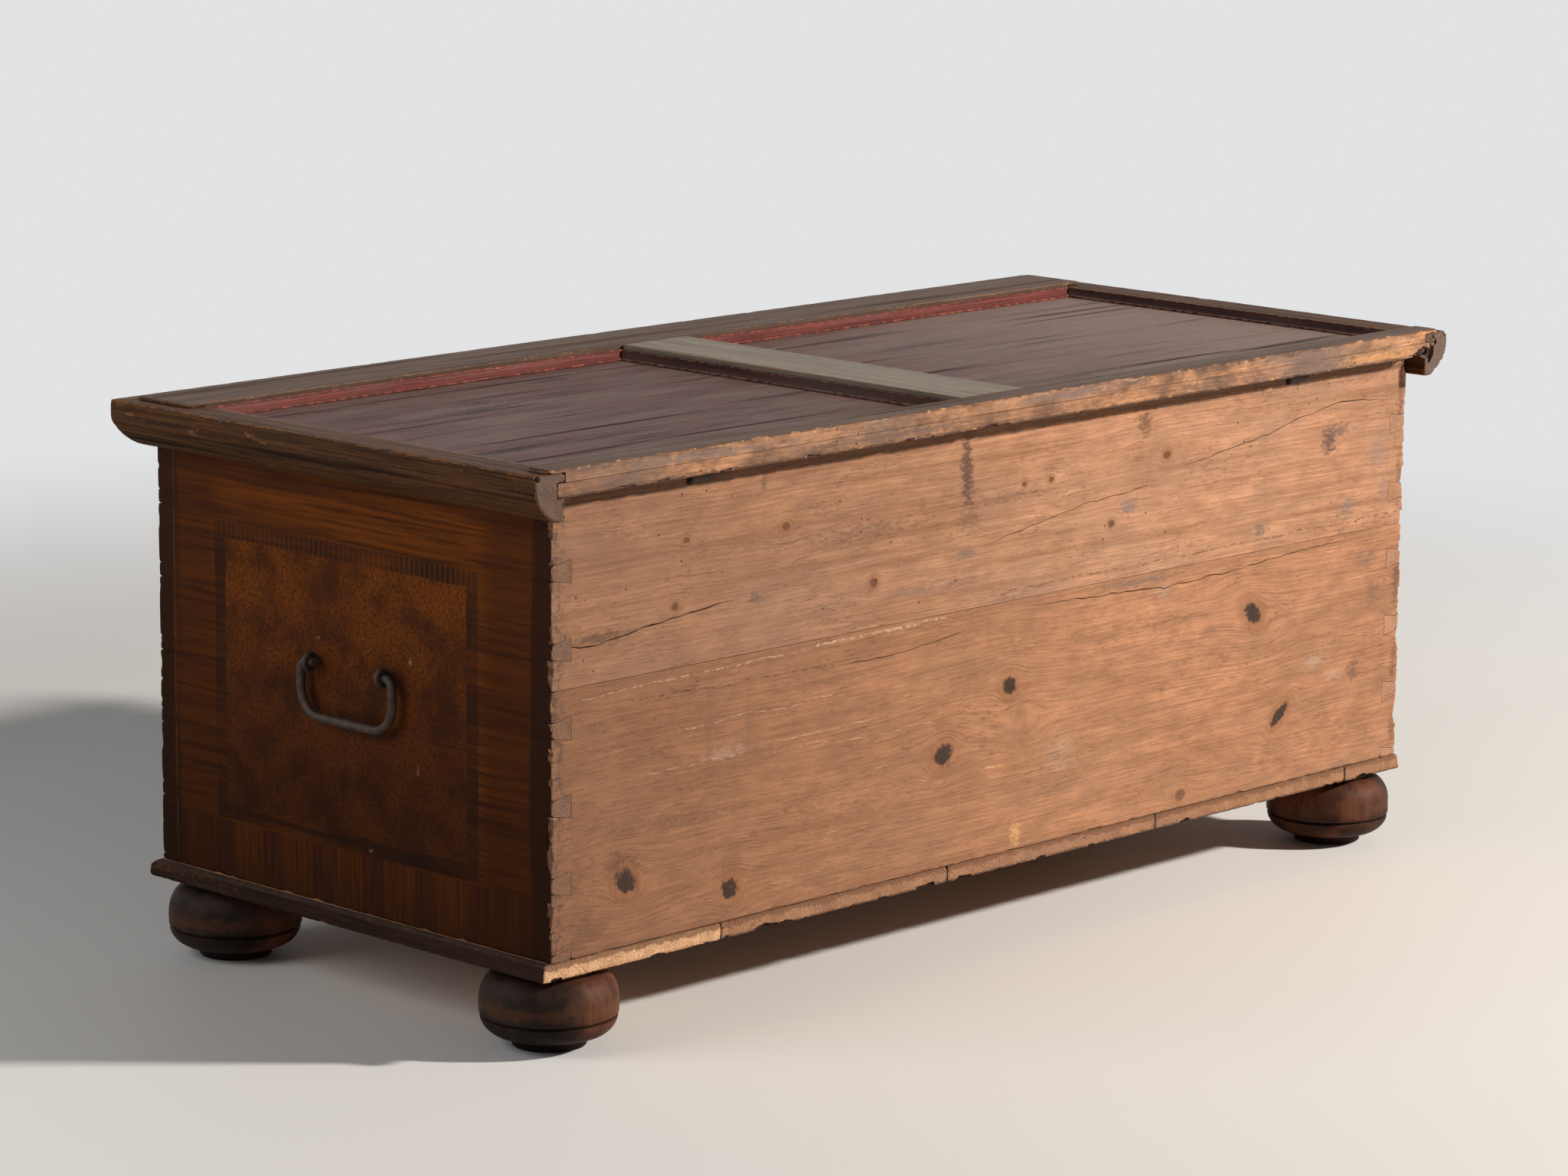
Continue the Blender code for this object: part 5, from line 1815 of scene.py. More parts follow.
LID_EDGE = Pine(
    "lid_edge_pine", Grain.LONG_UPRIGHT, pith=(0.50, 0.22), ring=0.0038, early=(0.36, 0.176, 0.088),
    late=(0.14, 0.064, 0.036), grey=(0.130, 0.090, 0.074), fresh=(0.60, 0.300, 0.115), grey_share=0.9,
    grime_share=0.85, worm=0.6, mottling=0.70, seed=14.0,
    smudges=(
        Smudge(0.470, 0.572, 0.120, 0.006, (0.190, 0.135, 0.120), 0.8),
        Smudge(0.200, 0.561, 0.150, 0.005, (0.150, 0.090, 0.070), 0.8),
        Smudge(-0.060, 0.574, 0.120, 0.006, (0.190, 0.130, 0.112), 0.8),
        Smudge(-0.280, 0.560, 0.090, 0.006, (0.140, 0.078, 0.056), 0.8),
        Smudge(-0.440, 0.573, 0.080, 0.006, (0.180, 0.115, 0.092), 0.8),
        Smudge(-0.570, 0.560, 0.070, 0.007, (0.560, 0.275, 0.100), 0.7),
    ),
    strokes=(
        # A pale line along the top arris: painted highlight
        Stroke((0.640, 0.5795), (-0.640, 0.5795), 0.0016, (0.560, 0.330, 0.190), 0.55),
        Stroke((0.500, 0.5560), (-0.100, 0.5540), 0.0014, (0.060, 0.032, 0.022), 0.7),
    ),
)
BATTEN_LONG = BrushedPaint(
    "batten_paint", Grain.LONG_FLAT, sheen=0.05, paint=(0.115, 0.070, 0.048), shade=(0.064, 0.037, 0.026),
    wood=(0.24, 0.130, 0.070), dust=(0.165, 0.118, 0.088), line=(0.055, 0.038, 0.028), wear=0.3, spots=0.15,
    gloss=0.5, seed=6.0)
BATTEN_DEEP = BrushedPaint(
    "middle_batten_paint", Grain.DEEP_FLAT, sheen=0.08, paint=(0.240, 0.194, 0.146),
    shade=(0.140, 0.108, 0.080), wood=(0.30, 0.165, 0.088), dust=(0.29, 0.245, 0.196),
    line=(0.045, 0.031, 0.023), wear=0.4, spots=0.28, gloss=0.5, seed=16.0)
RED = BrushedPaint(
    "red_moulding_paint", Grain.LONG_FLAT, sheen=0.08, paint=(0.172, 0.042, 0.031),
    shade=(0.076, 0.020, 0.016), wood=(0.36, 0.105, 0.055), dust=(0.16, 0.085, 0.07),
    line=(0.030, 0.010, 0.009), wear=0.35, spots=0.2, gloss=0.45, seed=3.0)
MAROON_LONG = BrushedPaint(
    "maroon_long_paint", Grain.LONG_FLAT, sheen=0.05, paint=(0.085, 0.029, 0.021),
    shade=(0.036, 0.014, 0.011), wood=(0.26, 0.135, 0.086), dust=(0.17, 0.120, 0.098),
    line=(0.012, 0.007, 0.006), wear=0.45, spots=0.12, gloss=0.38, seed=4.0)
MAROON_DEEP = replace(MAROON_LONG, name="maroon_deep_paint", grain=Grain.DEEP_FLAT, seed=5.0)
CLEAT = BrushedPaint(
    "cleat_paint", Grain.DEEP_UPRIGHT, sheen=0.05, paint=(0.100, 0.040, 0.014),
    shade=(0.014, 0.008, 0.0055), wood=(0.25, 0.105, 0.036), dust=(0.092, 0.045, 0.023),
    line=(0.006, 0.0040, 0.0032), wear=0.5, spots=0.40, line_share=0.75, gloss=0.5, seed=8.0)
FRONT_EDGE = BrushedPaint(
    "front_moulding_paint", Grain.LONG_UPRIGHT, sheen=0.12, paint=(0.112, 0.060, 0.038),
    shade=(0.046, 0.023, 0.015), wood=(0.36, 0.175, 0.075), dust=(0.15, 0.102, 0.078),
    line=(0.018, 0.011, 0.009), wear=0.42, spots=0.28, gloss=0.5, seed=9.0)
CLEAT_END = Pine(
    "cleat_end_grain", Grain.DEEP_UPRIGHT, pith=(0.56, 0.62), ring=0.0024, early=(0.128, 0.076, 0.053),
    late=(0.068, 0.038, 0.026), grey=(0.132, 0.095, 0.075), fresh=(0.45, 0.235, 0.105), grey_share=0.6,
    grime_share=0.7, seed=15.0)
FOOT = TurnedWood("turned_foot_stain", Grain.STANDING)
IRON = ForgedIron("forged_iron", Grain.STANDING)


class Assembly:
    """A group of pieces that belong together on the chest."""

    def timbers(self) -> list[Timber]:
        """Names the wooden pieces of the group."""
        return []

    def build(self, frame: dict, effects: Effects) -> None:
        """Makes every piece of the group.

        Args:
            frame: the loaded frame.
            effects: the shared groups.
        """
        for timber in self.timbers():
            timber.build(frame, effects)


@dataclass
class CaseWalls(Assembly):
    """The four dovetailed walls of two boards each: bare behind and inside, painted elsewhere."""

    wear: Wear = Wear(pitch=0.005, band=0.0025, rounding=0.0009, chips_per_metre=16.0,
                      chip_reach=(0.003, 0.010), chip_depth=(0.0006, 0.0020))
    upper_cracks: tuple[Crack, ...] = (
        Crack(((0.634, 0.4045), (0.602, 0.399), (0.532, 0.407), (0.468, 0.414), (0.405, 0.4185)), 0.0017),
        Crack(((0.040, 0.426), (-0.012, 0.434), (-0.108, 0.449), (-0.180, 0.454), (-0.228, 0.458)), 0.0011),
        Crack(((-0.262, 0.469), (-0.372, 0.484), (-0.424, 0.491), (-0.460, 0.500), (-0.524, 0.509),
               (-0.548, 0.511), (-0.618, 0.504)), 0.0013),
    )
    lower_cracks: tuple[Crack, ...] = (
        Crack(((0.260, 0.332), (0.180, 0.330), (0.100, 0.338), (0.052, 0.342)), 0.0010),
        Crack(((-0.020, 0.3535), (-0.100, 0.350), (-0.180, 0.347), (-0.244, 0.343), (-0.268, 0.344),
               (-0.372, 0.347), (-0.484, 0.354), (-0.580, 0.356)), 0.0012),
    )
    far_scoops: tuple[Scoop, ...] = scoops((-0.6515, 0.2915, 0.104), (-0.6515, 0.2915, 0.545), 26,
                                           (0.0028, 0.0030, 0.0032), (0.0078, 0.0085, 0.0170))
    near_scoops: tuple[Scoop, ...] = scoops((0.6512, 0.2912, 0.102), (0.6512, 0.2912, 0.548), 34,
                                            (0.0020, 0.0026, 0.0028), (0.0050, 0.0078, 0.0150))
    low_scoops: tuple[Scoop, ...] = scoops((-0.640, 0.2910, 0.0972), (0.640, 0.2910, 0.0972), 22,
                                           (0.0030, 0.0012, 0.0010), (0.0180, 0.0030, 0.0030))

    def timbers(self) -> list[Timber]:
        """Names the eight wall boards with their coats.

        Returns:
            The boards.
        """
        boards = []
        edges = self.near_scoops + self.far_scoops
        box = (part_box("left_end_lower_board")[0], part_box("right_end_upper_board")[1])
        for level, bare, cracks, low in (("upper", BACK_UPPER, self.upper_cracks, ()),
                                         ("lower", BACK_LOWER, self.lower_cracks, self.low_scoops)):
            bared = coats(INSIDE, back=bare, right=RIGHT_END, left=LEFT_END, top=bare, under=bare)
            painted = coats(INSIDE, front=FRONT, right=RIGHT_END, left=LEFT_END)
            right = coats(INSIDE_END, right=RIGHT_END, front=FRONT, back=NEAR_PINS)
            left = coats(INSIDE_END, left=LEFT_END, front=FRONT, back=FAR_PINS)
            for wall, coat, split, broken in (("back", bared, cracks, edges + low),
                                              ("front", painted, (), ()),
                                              ("right_end", right, (), self.near_scoops),
                                              ("left_end", left, (), self.far_scoops)):
                boards.append(Timber(f"{wall}_{level}_board", "chest", coat, self.wear, cracks=split,
                                     outer=box, joint=JOINT, scoops=broken))
        return boards


@dataclass
class BottomBoards(Assembly):
    """The five bottom boards, with bare end grain behind and painted moulded edges."""

    count: int = 5
    wear: Wear = Wear(pitch=0.006, band=0.004, rounding=0.0009, chips_per_metre=7.0,
                      chip_reach=(0.003, 0.008), chip_depth=(0.0006, 0.0016))
    scoops: tuple[Scoop, ...] = scoops((-0.655, 0.2908, 0.0800), (0.655, 0.2908, 0.0800), 34,
                                       (0.0030, 0.0016, 0.0014), (0.0200, 0.0046, 0.0056))

    def timbers(self) -> list[Timber]:
        """Names the bottom boards; the first, at the right, has the freshest end grain.

        Returns:
            The boards.
        """
        boards = []
        for k in range(1, self.count + 1):
            bare = BASE_FRESH if k == 1 else BASE_DULL
            boards.append(Timber(f"bottom_board_{k}", "chest",
                                 coats(bare, right=BASE_EDGE, left=BASE_EDGE, front=BASE_EDGE), self.wear,
                                 scoops=self.scoops))
        return boards


@dataclass
class LidPanel(Assembly):
    """The three lid boards, painted above and bare below and behind."""

    wear: Wear = Wear(pitch=0.006, band=0.004, rounding=0.0009, chips_per_metre=4.0,
                      chip_reach=(0.003, 0.008), chip_depth=(0.0005, 0.0014))
    back_scoops: tuple[Scoop, ...] = scoops((-0.645, 0.3142, 0.5516), (0.650, 0.3142, 0.5516), 46,
                                            (0.0025, 0.0016, 0.0012), (0.0150, 0.0044, 0.0042)) + (
        Scoop((-0.6500, 0.3120, 0.5550), (0.0150, 0.0100, 0.0075)),
        Scoop((-0.6380, 0.3150, 0.5530), (0.0120, 0.0060, 0.0050)),
    )

    def timbers(self) -> list[Timber]:
        """Names the lid boards."""
        box = (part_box("lid_front_board")[0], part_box("back_batten")[1])
        return [Timber(f"lid_{place}_board", "lid", coats(LID_EDGE, top=LID_PAINT, under=INSIDE_LID),
                       self.wear, scoops=self.back_scoops if place == "back" else (),
                       outer=box) for place in ("front", "middle", "back")]


@dataclass
class LidFrame(Assembly):
    """The cleats, the front moulding and the battens that frame the lid."""

    wear: Wear = Wear(pitch=0.005, band=0.0030, rounding=0.0010, chips_per_metre=8.0,
                      chip_reach=(0.002, 0.007), chip_depth=(0.0004, 0.0011))
    back_scoops: tuple[Scoop, ...] = scoops((-0.665, 0.3140, 0.5812), (0.665, 0.3140, 0.5812), 58,
                                            (0.0020, 0.0014, 0.0012), (0.0120, 0.0036, 0.0036))
    near_end: tuple[Scoop, ...] = (
        Scoop((0.6550, 0.3140, 0.5780), (0.0040, 0.0050, 0.0040)),
        Scoop((0.6900, 0.3140, 0.5740), (0.0050, 0.0060, 0.0050)),
        Scoop((0.6800, 0.3150, 0.5300), (0.0060, 0.0060, 0.0040)),
        Scoop((0.6540, 0.3150, 0.5400), (0.0030, 0.0050, 0.0080)),
    )
    far_end: tuple[Scoop, ...] = (
        Scoop((-0.6580, 0.3140, 0.5560), (0.0090, 0.0080, 0.0110)),
        Scoop((-0.6660, 0.3150, 0.5680), (0.0080, 0.0050, 0.0060)),
        Scoop((-0.6860, 0.3150, 0.5760), (0.0070, 0.0070, 0.0050)),
        Scoop((-0.6760, 0.3150, 0.5320), (0.0080, 0.0060, 0.0060)),
    )

    def timbers(self) -> list[Timber]:
        """Names the frame's pieces with their coats.

        Returns:
            The pieces.
        """
        pieces = [Timber(f"{side}_cleat", "lid", coats(CLEAT, back=CLEAT_END), self.wear,
                         scoops=ends + scoops((x, -0.300, 0.5770), (x, 0.305, 0.5770), 22,
                                              (0.0014, 0.0020, 0.0012), (0.0036, 0.0120, 0.0030)))
                  for side, ends, x in (("right", self.near_end, 0.6915), ("left", self.far_end, -0.6915))]
        pieces.append(Timber("front_moulding", "lid", coats(FRONT_EDGE), self.wear))
        pieces.append(Timber("front_batten", "lid", coats(BATTEN_LONG, front=FRONT_EDGE), self.wear))
        pieces.append(Timber("back_batten", "lid",
                             coats(BATTEN_LONG, back=LID_EDGE, right=LID_EDGE, left=LID_EDGE), self.wear,
                             scoops=self.back_scoops,
                             outer=(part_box("lid_front_board")[0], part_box("back_batten")[1])))
        pieces.append(Timber("middle_batten", "lid", coats(BATTEN_DEEP), self.wear))
        return pieces


@dataclass
class FieldMouldings(Assembly):
    """The mitred cove mouldings round the two lid fields: red in front, maroon elsewhere."""

    wear: Wear = Wear(pitch=0.006, band=0.0025, rounding=0.0005, chips_per_metre=3.0,
                      chip_reach=(0.002, 0.006), chip_depth=(0.0003, 0.0012))

    def timbers(self) -> list[Timber]:
        """Names the eight mouldings."""
        paints = {"front": RED, "back": MAROON_LONG, "left": MAROON_DEEP, "right": MAROON_DEEP}
        return [Timber(f"{field_side}_field_{edge}_moulding", "lid", coats(paint), self.wear)
                for field_side in ("right", "left") for edge, paint in paints.items()]


@dataclass
class BunFeet(Assembly):
    """The four turned bun feet, with their pads, necks, incised lines and tenons."""

    equator: float = 0.040
    pad_r: float = 0.037
    pad_h: float = 0.010
    neck_r: float = 0.044
    neck_h: float = 0.006
    height: float = 0.080
    tenon_r: float = 0.014
    groove_drop: float = 0.009
    groove_half: float = 0.0022
    groove_depth: float = 0.0034
    soften: float = 0.0012
    fullness: float = 0.80
    steps: int = 84
    arc_steps: int = 16
    dent: float = 0.0007
    dent_scales: Pair = (55.0, 150.0)
    dent_bias: float = 0.35
    rim: float = 0.001
    worn_rise: float = 0.004
    worn_reach: float = 0.016

    def profile(self, radius: float, top: float) -> list[Pair]:
        """Draws a foot's outline from the top of its tenon to the floor.

        Args:
            radius: the foot's greatest radius.
            top: the height of its tenon's top.

        Returns:
            Points as (radius, height).
        """
        shoulder = self.height - self.neck_h
        points = [(0.0, top), (self.tenon_r, top), (self.tenon_r, self.height)]
        points += [(self.neck_r - self.soften, self.height), (self.neck_r, self.height - self.soften)]
        for k in range(self.arc_steps + 1):
            turn = math.pi / 2 * (1 - k / self.arc_steps)
            out = max(0.0, math.cos(turn)) ** self.fullness
            up = max(0.0, math.sin(turn)) ** self.fullness
            points.append((self.neck_r + (radius - self.neck_r) * out,
                           self.equator + (shoulder - self.equator) * up))
        groove = self.equator - self.groove_drop
        for k in range(1, 2 * self.arc_steps + 1):
            turn = math.pi / 2 * k / (2 * self.arc_steps)
            r = self.pad_r + (radius - self.pad_r) * max(0.0, math.cos(turn)) ** self.fullness
            z = self.equator - (self.equator - self.pad_h) * math.sin(turn) ** self.fullness
            line = max(0.0, 1 - abs(z - groove) / self.groove_half)
            points.append((r - self.groove_depth * line, z))
        points += [(self.pad_r, self.soften), (self.pad_r - self.soften, 0.0), (0.0, 0.0)]
        return points

    def build(self, frame: dict, effects: Effects) -> None:
        """Turns the four feet.

        Args:
            frame: the loaded frame; not used.
            effects: the shared groups.
        """
        for end in ("right", "left"):
            for face in ("back", "front"):
                self.turn(f"{end}_{face}_foot", effects)

    def turn(self, node: str, effects: Effects) -> None:
        """Turns one foot and dents it a little.

        Args:
            node: the foot's solid.
            effects: the shared groups.
        """
        low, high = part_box(node)
        middle = (low + high) / 2
        radius = (high.x - low.x) / 2
        bm = bmesh.new()
        line = [bm.verts.new((middle.x + r, middle.y, z)) for r, z in self.profile(radius, high.z)]
        edges = [bm.edges.new(pair) for pair in zip(line, line[1:])]
        bmesh.ops.spin(bm, geom=line + edges, cent=(middle.x, middle.y, 0.0), axis=(0.0, 0.0, 1.0),
                       angle=2 * math.pi, steps=self.steps, use_merge=True)
        bmesh.ops.remove_doubles(bm, verts=bm.verts, dist=SPIN_WELD)
        bmesh.ops.recalc_face_normals(bm, faces=bm.faces)
        wear = bm.verts.layers.float.new("wear")
        for vert in bm.verts:
            out = Vector((vert.co.x - middle.x, vert.co.y - middle.y, 0.0))
            if out.length > self.tenon_r + self.soften and self.rim < vert.co.z < self.height - self.rim:
                broad, fine = (noise.noise(vert.co * scale) for scale in self.dent_scales)
                bump = broad + 0.5 * fine
                vert.co -= out.normalized() * (self.dent * max(0.0, bump + self.dent_bias))
            vert[wear] = max(0.0, 1 - abs(vert.co.z - self.equator - self.worn_rise) / self.worn_reach)
        piece = finished(f"{node}_turned", bm, "chest", [FOOT.material(effects)], 55.0)
        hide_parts(node)


@dataclass
class Handles(Assembly):
    """The two iron handles, each a forged bail that swings in two eyes."""

    rod: float = 0.0045
    grip: float = 0.0050
    head: float = 0.0054
    eye_spacing: float = 0.107
    shoulder: float = 0.004
    drop: float = 0.054
    curl: float = 0.010
    corner: float = 0.028
    end: float = 0.0075
    pivot_x: float = 0.6614
    handle_y: float = 0.010
    handle_z: float = 0.343
    eye_r: float = 0.0077
    wire: float = 0.0026
    shank_r: float = 0.0032
    shank_x: float = 0.629
    sides: int = 14
    arc_steps: int = 9
    grip_steps: int = 14
    eye_steps: int = 36
    lead: float = 0.003
    grip_share: float = 0.9
    dent: float = 0.00025
    dent_scale: float = 210.0

    def route(self) -> list[Vector]:
        """Draws a bail's middle line hanging from its pivots, in the plane of Y and Z.

        Returns:
            The points, from its centre between the pivots.
        """
        turn = self.eye_spacing / 2 + self.shoulder
        limb = turn + self.curl
        half = [(self.eye_spacing / 2 - self.end, 0.0), (self.eye_spacing / 2 - self.end + self.lead, 0.0)]
        for k in range(self.arc_steps + 1):
            angle = math.pi / 2 * (1 - k / self.arc_steps)
            half.append((turn + self.curl * math.cos(angle), -self.curl + self.curl * math.sin(angle)))
        for k in range(self.arc_steps + 1):
            angle = -math.pi / 2 * k / self.arc_steps
            half.append((limb - self.corner + self.corner * math.cos(angle),
                         -self.drop + self.corner + self.corner * math.sin(angle)))
        last = half[-1]
        for k in range(1, self.grip_steps // 2):
            half.append((last[0] * (1 - 2 * k / self.grip_steps), last[1]))
        points = half + [(0.0, last[1])] + [(-u, v) for u, v in reversed(half)]
        return [Vector((0.0, u, v)) for u, v in points]

    def build(self, frame: dict, effects: Effects) -> None:
        """Forges both handles.

        Args:
            frame: the loaded frame; not used.
            effects: the shared groups.
        """
        for side, sign in (("right", 1), ("left", -1)):
            self.bail(side, sign, effects)
            for face, y in (("front", self.handle_y - self.eye_spacing / 2),
                            ("back", self.handle_y + self.eye_spacing / 2)):
                self.eye(f"{side}_{face}_eye", sign, y, effects)

    def bail(self, side: str, sign: int, effects: Effects) -> None:
        """Forges a bail: a hammered rod, stouter at the grip, with upset ends.

        Args:
            side: which handle.
            sign: the end's sign along X.
            effects: the shared groups.
        """
        centre = Vector((sign * self.pivot_x, self.handle_y, self.handle_z))
        route = self.route()
        rings = []
        for k, point in enumerate(route):
            ahead = route[min(k + 1, len(route) - 1)] - route[max(k - 1, 0)]
            out = Vector((1.0, 0.0, 0.0))
            across = ahead.normalized().cross(out)
            radius = self.rod
            if point.z < -self.drop * self.grip_share:
                radius += (self.grip - self.rod) * max(0.0, 1 - abs(point.y) / (self.eye_spacing / 2))
            if k in (0, len(route) - 1):
                radius = self.head
            ring = []
            for j in range(self.sides):
                turn = 2 * math.pi * j / self.sides
                way = out * math.cos(turn) + across * math.sin(turn)
                spot = centre + point + way * radius
                ring.append(spot + way * self.dent * noise.noise(spot * self.dent_scale))
            rings.append(ring)
        bm = bmesh.new()
        loft(bm, rings)
        piece = finished(f"{side}_bail_forged", bm, f"{side}_handle", [IRON.material(effects)], 60.0)
        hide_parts(f"{side}_bail")

    def eye(self, node: str, sign: int, y: float, effects: Effects) -> None:
        """Bends an eye: a ring of wire on a shank driven into the end.

        Args:
            node: the eye's solid.
            sign: the end's sign along X.
            y: its place along Y.
            effects: the shared groups.
        """
        bm = bmesh.new()
        centre = Vector((sign * self.pivot_x, y, self.handle_z))
        upright = Matrix.Translation(centre + Vector((self.eye_r, 0.0, 0.0)))
        made = bmesh.ops.create_circle(bm, cap_ends=False, segments=self.sides, radius=self.wire,
                                       matrix=upright)
        loop = {e for v in made["verts"] for e in v.link_edges}
        bmesh.ops.spin(bm, geom=made["verts"] + list(loop), cent=centre, axis=(0.0, 1.0, 0.0),
                       angle=2 * math.pi, steps=self.eye_steps, use_merge=True)
        bmesh.ops.remove_doubles(bm, verts=bm.verts, dist=SPIN_WELD)
        start = sign * self.shank_x
        stop = sign * (self.pivot_x - self.eye_r)
        level = Matrix.Rotation(math.pi / 2, 4, "Y")
        lay = Matrix.Translation(((start + stop) / 2, y, self.handle_z)) @ level
        bmesh.ops.create_cone(bm, cap_ends=True, segments=self.sides, radius1=self.shank_r,
                              radius2=self.shank_r, depth=abs(stop - start), matrix=lay)
        bmesh.ops.recalc_face_normals(bm, faces=bm.faces)
        piece = finished(f"{node}_forged", bm, "chest", [IRON.material(effects)], 60.0)
        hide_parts(node)


@dataclass
class StrapHinges(Assembly):
    """The two strap hinges with softened edges, and the nails that hold their straps."""

    bevel: float = 0.0006
    lid_nails: tuple[float, ...] = (0.235, 0.165, 0.095, 0.030)
    back_nails: tuple[float, ...] = (0.505, 0.460, 0.425)
    nail_r: float = 0.0055
    nail_h: float = 0.0022
    nail_sink: float = 0.0003
    nail_point: float = 0.35
    strap: float = 0.003
    crease: float = 35.0

    def build(self, frame: dict, effects: Effects) -> None:
        """Dresses the hinges and drives their nails.

        Args:
            frame: the loaded frame.
            effects: the shared groups.
        """
        for side in ("right", "left"):
            for part, body in (("lid_strap", "lid"), ("back_strap", "chest"), ("pin", "chest")):
                self.soften(f"{side}_hinge_{part}", body, frame, effects)
        self.drive("lid", effects)
        self.drive("chest", effects)

    def soften(self, node: str, body: str, frame: dict, effects: Effects) -> None:
        """Makes a hinge part with hammered, softened edges.

        Args:
            node: the part's solid.
            body: the body that carries it.
            frame: the loaded frame.
            effects: the shared groups.
        """
        bm = merged(frame["nodes"][node].data)
        limit = math.radians(self.crease)
        sharp = [e for e in bm.edges if len(e.link_faces) == 2 and e.calc_face_angle(0.0) > limit]
        bmesh.ops.bevel(bm, geom=sharp, offset=self.bevel, affect="EDGES", segments=2, profile=0.5,
                        material=-1, clamp_overlap=True)
        piece = finished(f"{node}_forged", bm, body, [IRON.material(effects)], 40.0)
        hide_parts(node)

    def drive(self, body: str, effects: Effects) -> None:
        """Drives the rose-head nails of the straps on one body, as one piece.

        Args:
            body: the lid or the chest.
            effects: the shared groups.
        """
        bm = bmesh.new()
        for side in ("right", "left"):
            strap = "lid_strap" if body == "lid" else "back_strap"
            low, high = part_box(f"{side}_hinge_{strap}")
            x = (low.x + high.x) / 2
            if body == "lid":
                spots = [Vector((x, y, high.z - self.strap)) for y in self.lid_nails]
                face = Matrix.Rotation(math.pi, 4, "X")
            else:
                spots = [Vector((x, low.y, z)) for z in self.back_nails]
                face = Matrix.Rotation(math.pi / 2, 4, "X")
            for spot in spots:
                self.nail(bm, spot, face)
        piece = finished(f"{body}_hinge_nails", bm, body, [IRON.material(effects)], 20.0)

    def nail(self, bm: bmesh.types.BMesh, spot: Vector, face: Matrix) -> None:
        """Adds one hammered nail head that stands out along the turned Z of its face.

        Args:
            bm: the mesh to add to.
            spot: its place on the face.
            face: the turn that lays Z along the face's outward normal.
        """
        lift = Matrix.Translation((0.0, 0.0, self.nail_h / 2 - self.nail_sink))
        bmesh.ops.create_cone(bm, cap_ends=True, segments=9, radius1=self.nail_r,
                              radius2=self.nail_r * self.nail_point, depth=self.nail_h,
                              matrix=Matrix.Translation(spot) @ face @ lift)


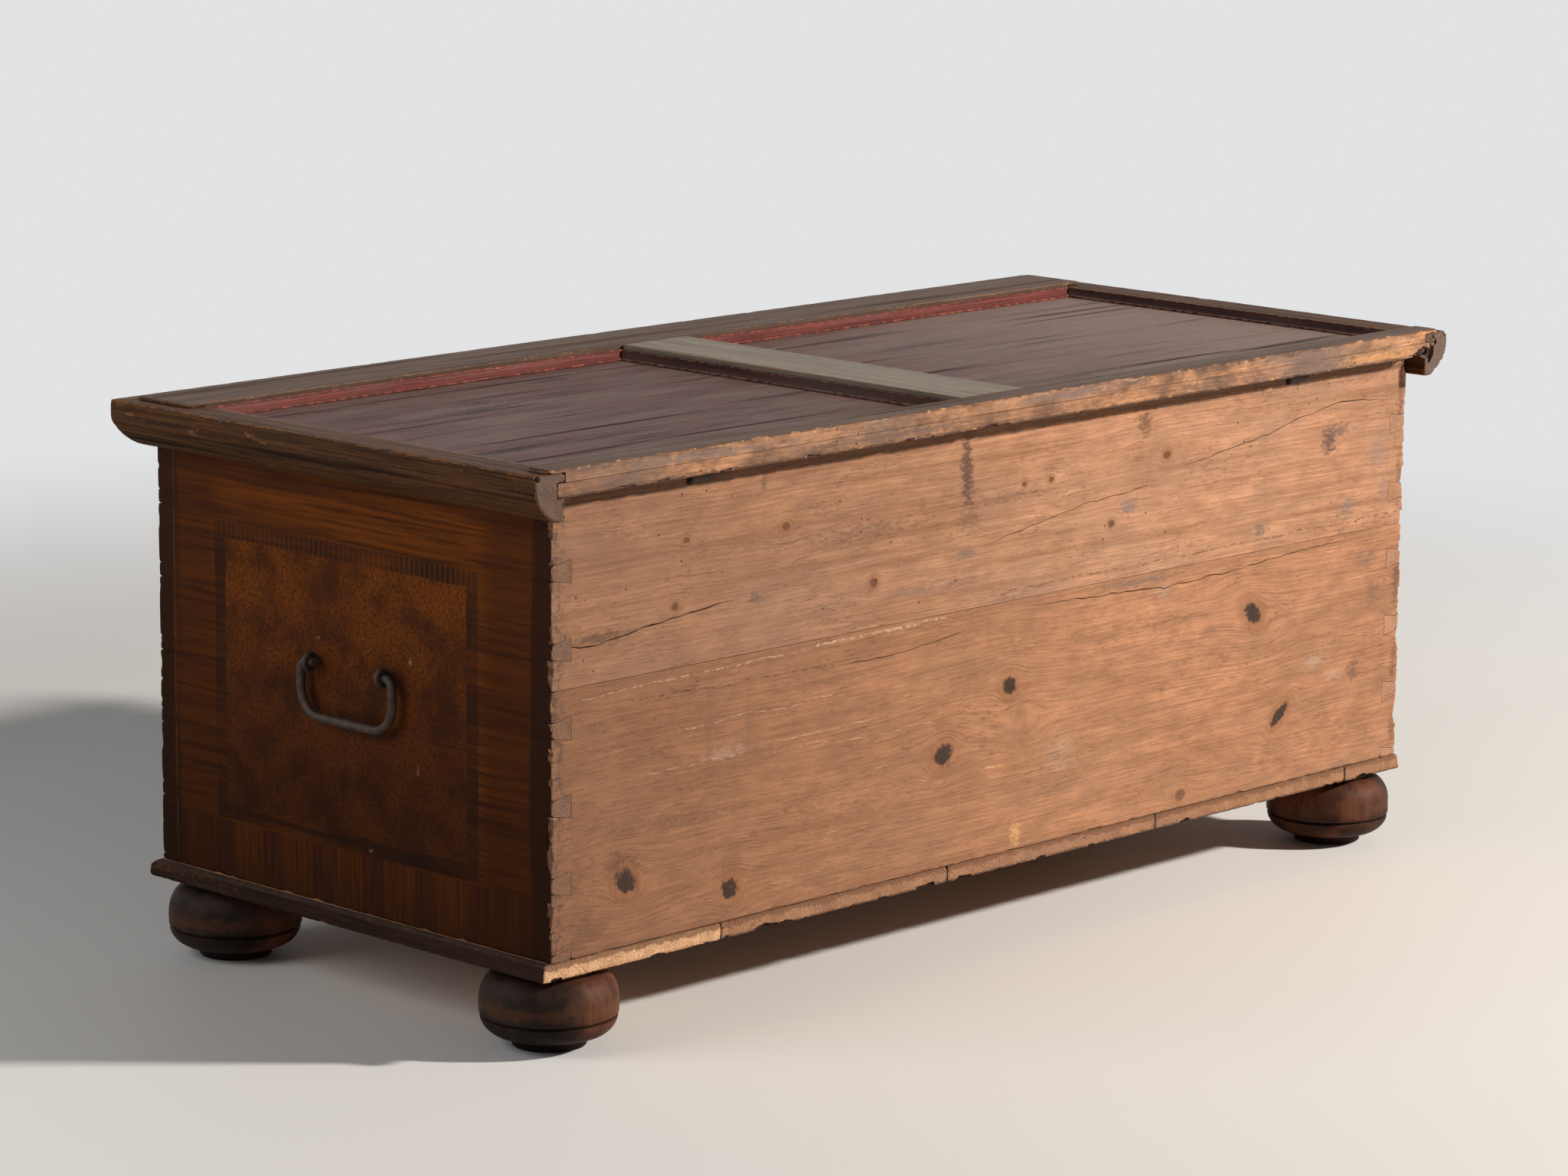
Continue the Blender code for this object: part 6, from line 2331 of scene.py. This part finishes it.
@dataclass
class Studio:
    """The floor, the light and the camera at the photograph's angle."""

    eye: Vector = field(default_factory=lambda: Vector((3.9880, 3.8391, 1.4207)))
    pan: float = -134.1846
    tilt: float = 11.1086
    roll: float = 0.4761
    lens: float = 121.45
    sensor: float = 36.0
    floor: Colour = (0.735, 0.708, 0.672)
    floor_cloud: Colour = (0.63, 0.605, 0.575)
    floor_cloud_share: float = 0.16
    # floor_dim paints shade on the floor near the key lamp, against the lamp's bright pool
    floor_dim: Colour = (0.26, 0.25, 0.24)
    floor_dim_share: float = 0.7
    floor_dim_run: Pair = (4.3, 2.2)
    floor_rough: Pair = (0.52, 0.66)
    floor_sheen: float = 0.16
    backdrop: Colour = (0.76, 0.765, 0.775)
    fill: float = 0.11
    key_at: Vector = field(default_factory=lambda: Vector((-3.70, 4.50, 3.30)))
    key_aim: Vector = field(default_factory=lambda: Vector((0.0, 0.15, 0.30)))
    key_power: float = 660.0
    key_size: float = 0.40
    key_colour: Colour = (1.0, 0.965, 0.92)
    side_at: Vector = field(default_factory=lambda: Vector((2.60, -0.75, 1.50)))
    side_aim: Vector = field(default_factory=lambda: Vector((0.65, 0.0, 0.25)))
    side_power: float = 27.0
    side_size: float = 1.5
    side_colour: Colour = (0.96, 0.98, 1.0)
    floor_r: float = 14.0
    fade: Pair = (1.2, 3.2)

    def build(self) -> None:
        """Sets the stage."""
        bpy.context.scene.view_settings.view_transform = "Standard"
        self.lay_floor()
        self.light()
        self.aim()

    def lay_floor(self) -> None:
        """Lays a pale floor, darkened with painted shade near the key lamp, that fades into the backdrop
        far from the chest.
        """
        bm = bmesh.new()
        bmesh.ops.create_circle(bm, cap_ends=True, segments=96, radius=self.floor_r)
        mesh = bpy.data.meshes.new("studio_floor")
        bm.to_mesh(mesh)
        bm.free()
        floor = bpy.data.objects.new("studio_floor", mesh)
        bpy.context.scene.collection.objects.link(floor)
        made = bpy.data.materials.new("studio_floor_paint")
        made.use_nodes = True
        s = Sketch(made.node_tree)
        shader = made.node_tree.nodes["Principled BSDF"]
        place = s.add("TexCoord").outputs["Object"]
        cloud = s.noise(place, 1.6, 4.0, 0.6)
        parts = s.add("SeparateXYZ", {0: place}).outputs
        gaps = [s.minus(parts[k], self.key_at[k]) for k in range(2)]
        paint = s.stain(self.floor, self.floor_cloud, cloud, self.floor_cloud_share)
        # Painted shade: the floor is darker near the key lamp
        near = s.step(s.length(*gaps), *self.floor_dim_run)
        s.feed(shader.inputs["Base Color"], s.stain(paint, self.floor_dim, near, self.floor_dim_share))
        s.feed(shader.inputs["Roughness"], s.spread(cloud, *self.floor_rough))
        shader.inputs["Specular IOR Level"].default_value = self.floor_sheen
        share = s.times(s.step(s.length(parts[0], parts[1]), *self.fade), self.seen(s))
        pale = s.add("Emission", {"Color": self.backdrop, "Strength": 1.0})
        mixed = s.add("MixShader", {0: share, 1: shader.outputs["BSDF"], 2: pale.outputs[0]})
        s.feed(made.node_tree.nodes["Material Output"].inputs["Surface"], mixed.outputs[0])
        mesh.materials.append(made)

    def light(self) -> None:
        """Hangs a key lamp and a soft side lamp, and sets the pale world round them."""
        self.hang("key", self.key_at, self.key_aim, self.key_power, self.key_size, self.key_colour)
        self.hang("side", self.side_at, self.side_aim, self.side_power, self.side_size, self.side_colour)
        world = bpy.data.worlds.new("studio_world")
        bpy.context.scene.world = world
        world.use_nodes = True
        s = Sketch(world.node_tree)
        shade = world.node_tree.nodes["Background"]
        s.feed(shade.inputs["Color"], self.backdrop)
        s.feed(shade.inputs["Strength"], s.spread(self.seen(s), self.fill, 1.0))

    @staticmethod
    def seen(sketch: Sketch) -> Socket:
        """Finds the rays that show the backdrop: those of the camera, of gloss and of glass.

        Args:
            sketch: the nodes of the floor or the world.

        Returns:
            1 on such a ray, and 0 on others.
        """
        path = sketch.add("LightPath").outputs
        mirrored = sketch.calc("MAXIMUM", path["Is Glossy Ray"], path["Is Transmission Ray"])
        return sketch.calc("MAXIMUM", path["Is Camera Ray"], mirrored)

    @staticmethod
    def hang(name: str, at: Vector, aim: Vector, power: float, size: float, colour: Colour) -> None:
        """Hangs one square lamp.

        Args:
            name: the lamp's name.
            at: its place.
            aim: where it points.
            power: its watts.
            size: its side.
            colour: its light's colour.
        """
        lamp = bpy.data.lights.new(name, "AREA")
        lamp.energy = power
        lamp.size = size
        lamp.color = colour
        hung = bpy.data.objects.new(name, lamp)
        hung.location = at
        hung.rotation_euler = (aim - at).to_track_quat("-Z", "Y").to_euler()
        bpy.context.scene.collection.objects.link(hung)

    def aim(self) -> None:
        """Sets the camera where the photograph was taken from."""
        pan, tilt, roll = (math.radians(a) for a in (self.pan, self.tilt, self.roll))
        ahead = Vector((math.sin(pan) * math.cos(tilt), math.cos(pan) * math.cos(tilt), -math.sin(tilt)))
        right = Vector((math.cos(pan), -math.sin(pan), 0.0))
        up = right.cross(ahead)
        across = right * math.cos(roll) + up * math.sin(roll)
        above = up * math.cos(roll) - right * math.sin(roll)
        turn = Matrix((across, above, -ahead)).transposed().to_4x4()
        data = bpy.data.cameras.new("photo_camera")
        data.lens = self.lens
        data.sensor_width = self.sensor
        data.sensor_fit = "HORIZONTAL"
        camera = bpy.data.objects.new("photo_camera", data)
        camera.matrix_world = Matrix.Translation(self.eye) @ turn
        bpy.context.scene.collection.objects.link(camera)
        bpy.context.scene.camera = camera


def main() -> None:
    """Builds the chest over its frame, and sets the studio round it."""
    logging.basicConfig(level=logging.INFO, format="%(message)s")
    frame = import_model()
    effects = Effects()
    for group in (CaseWalls(), BottomBoards(), BunFeet(), LidPanel(), LidFrame(), FieldMouldings(),
                  StrapHinges(), Handles()):
        log.info("%s", type(group).__name__)
        group.build(frame, effects)
    Studio().build()
    bpy.context.view_layer.update()


if __name__ == "__main__":
    main()
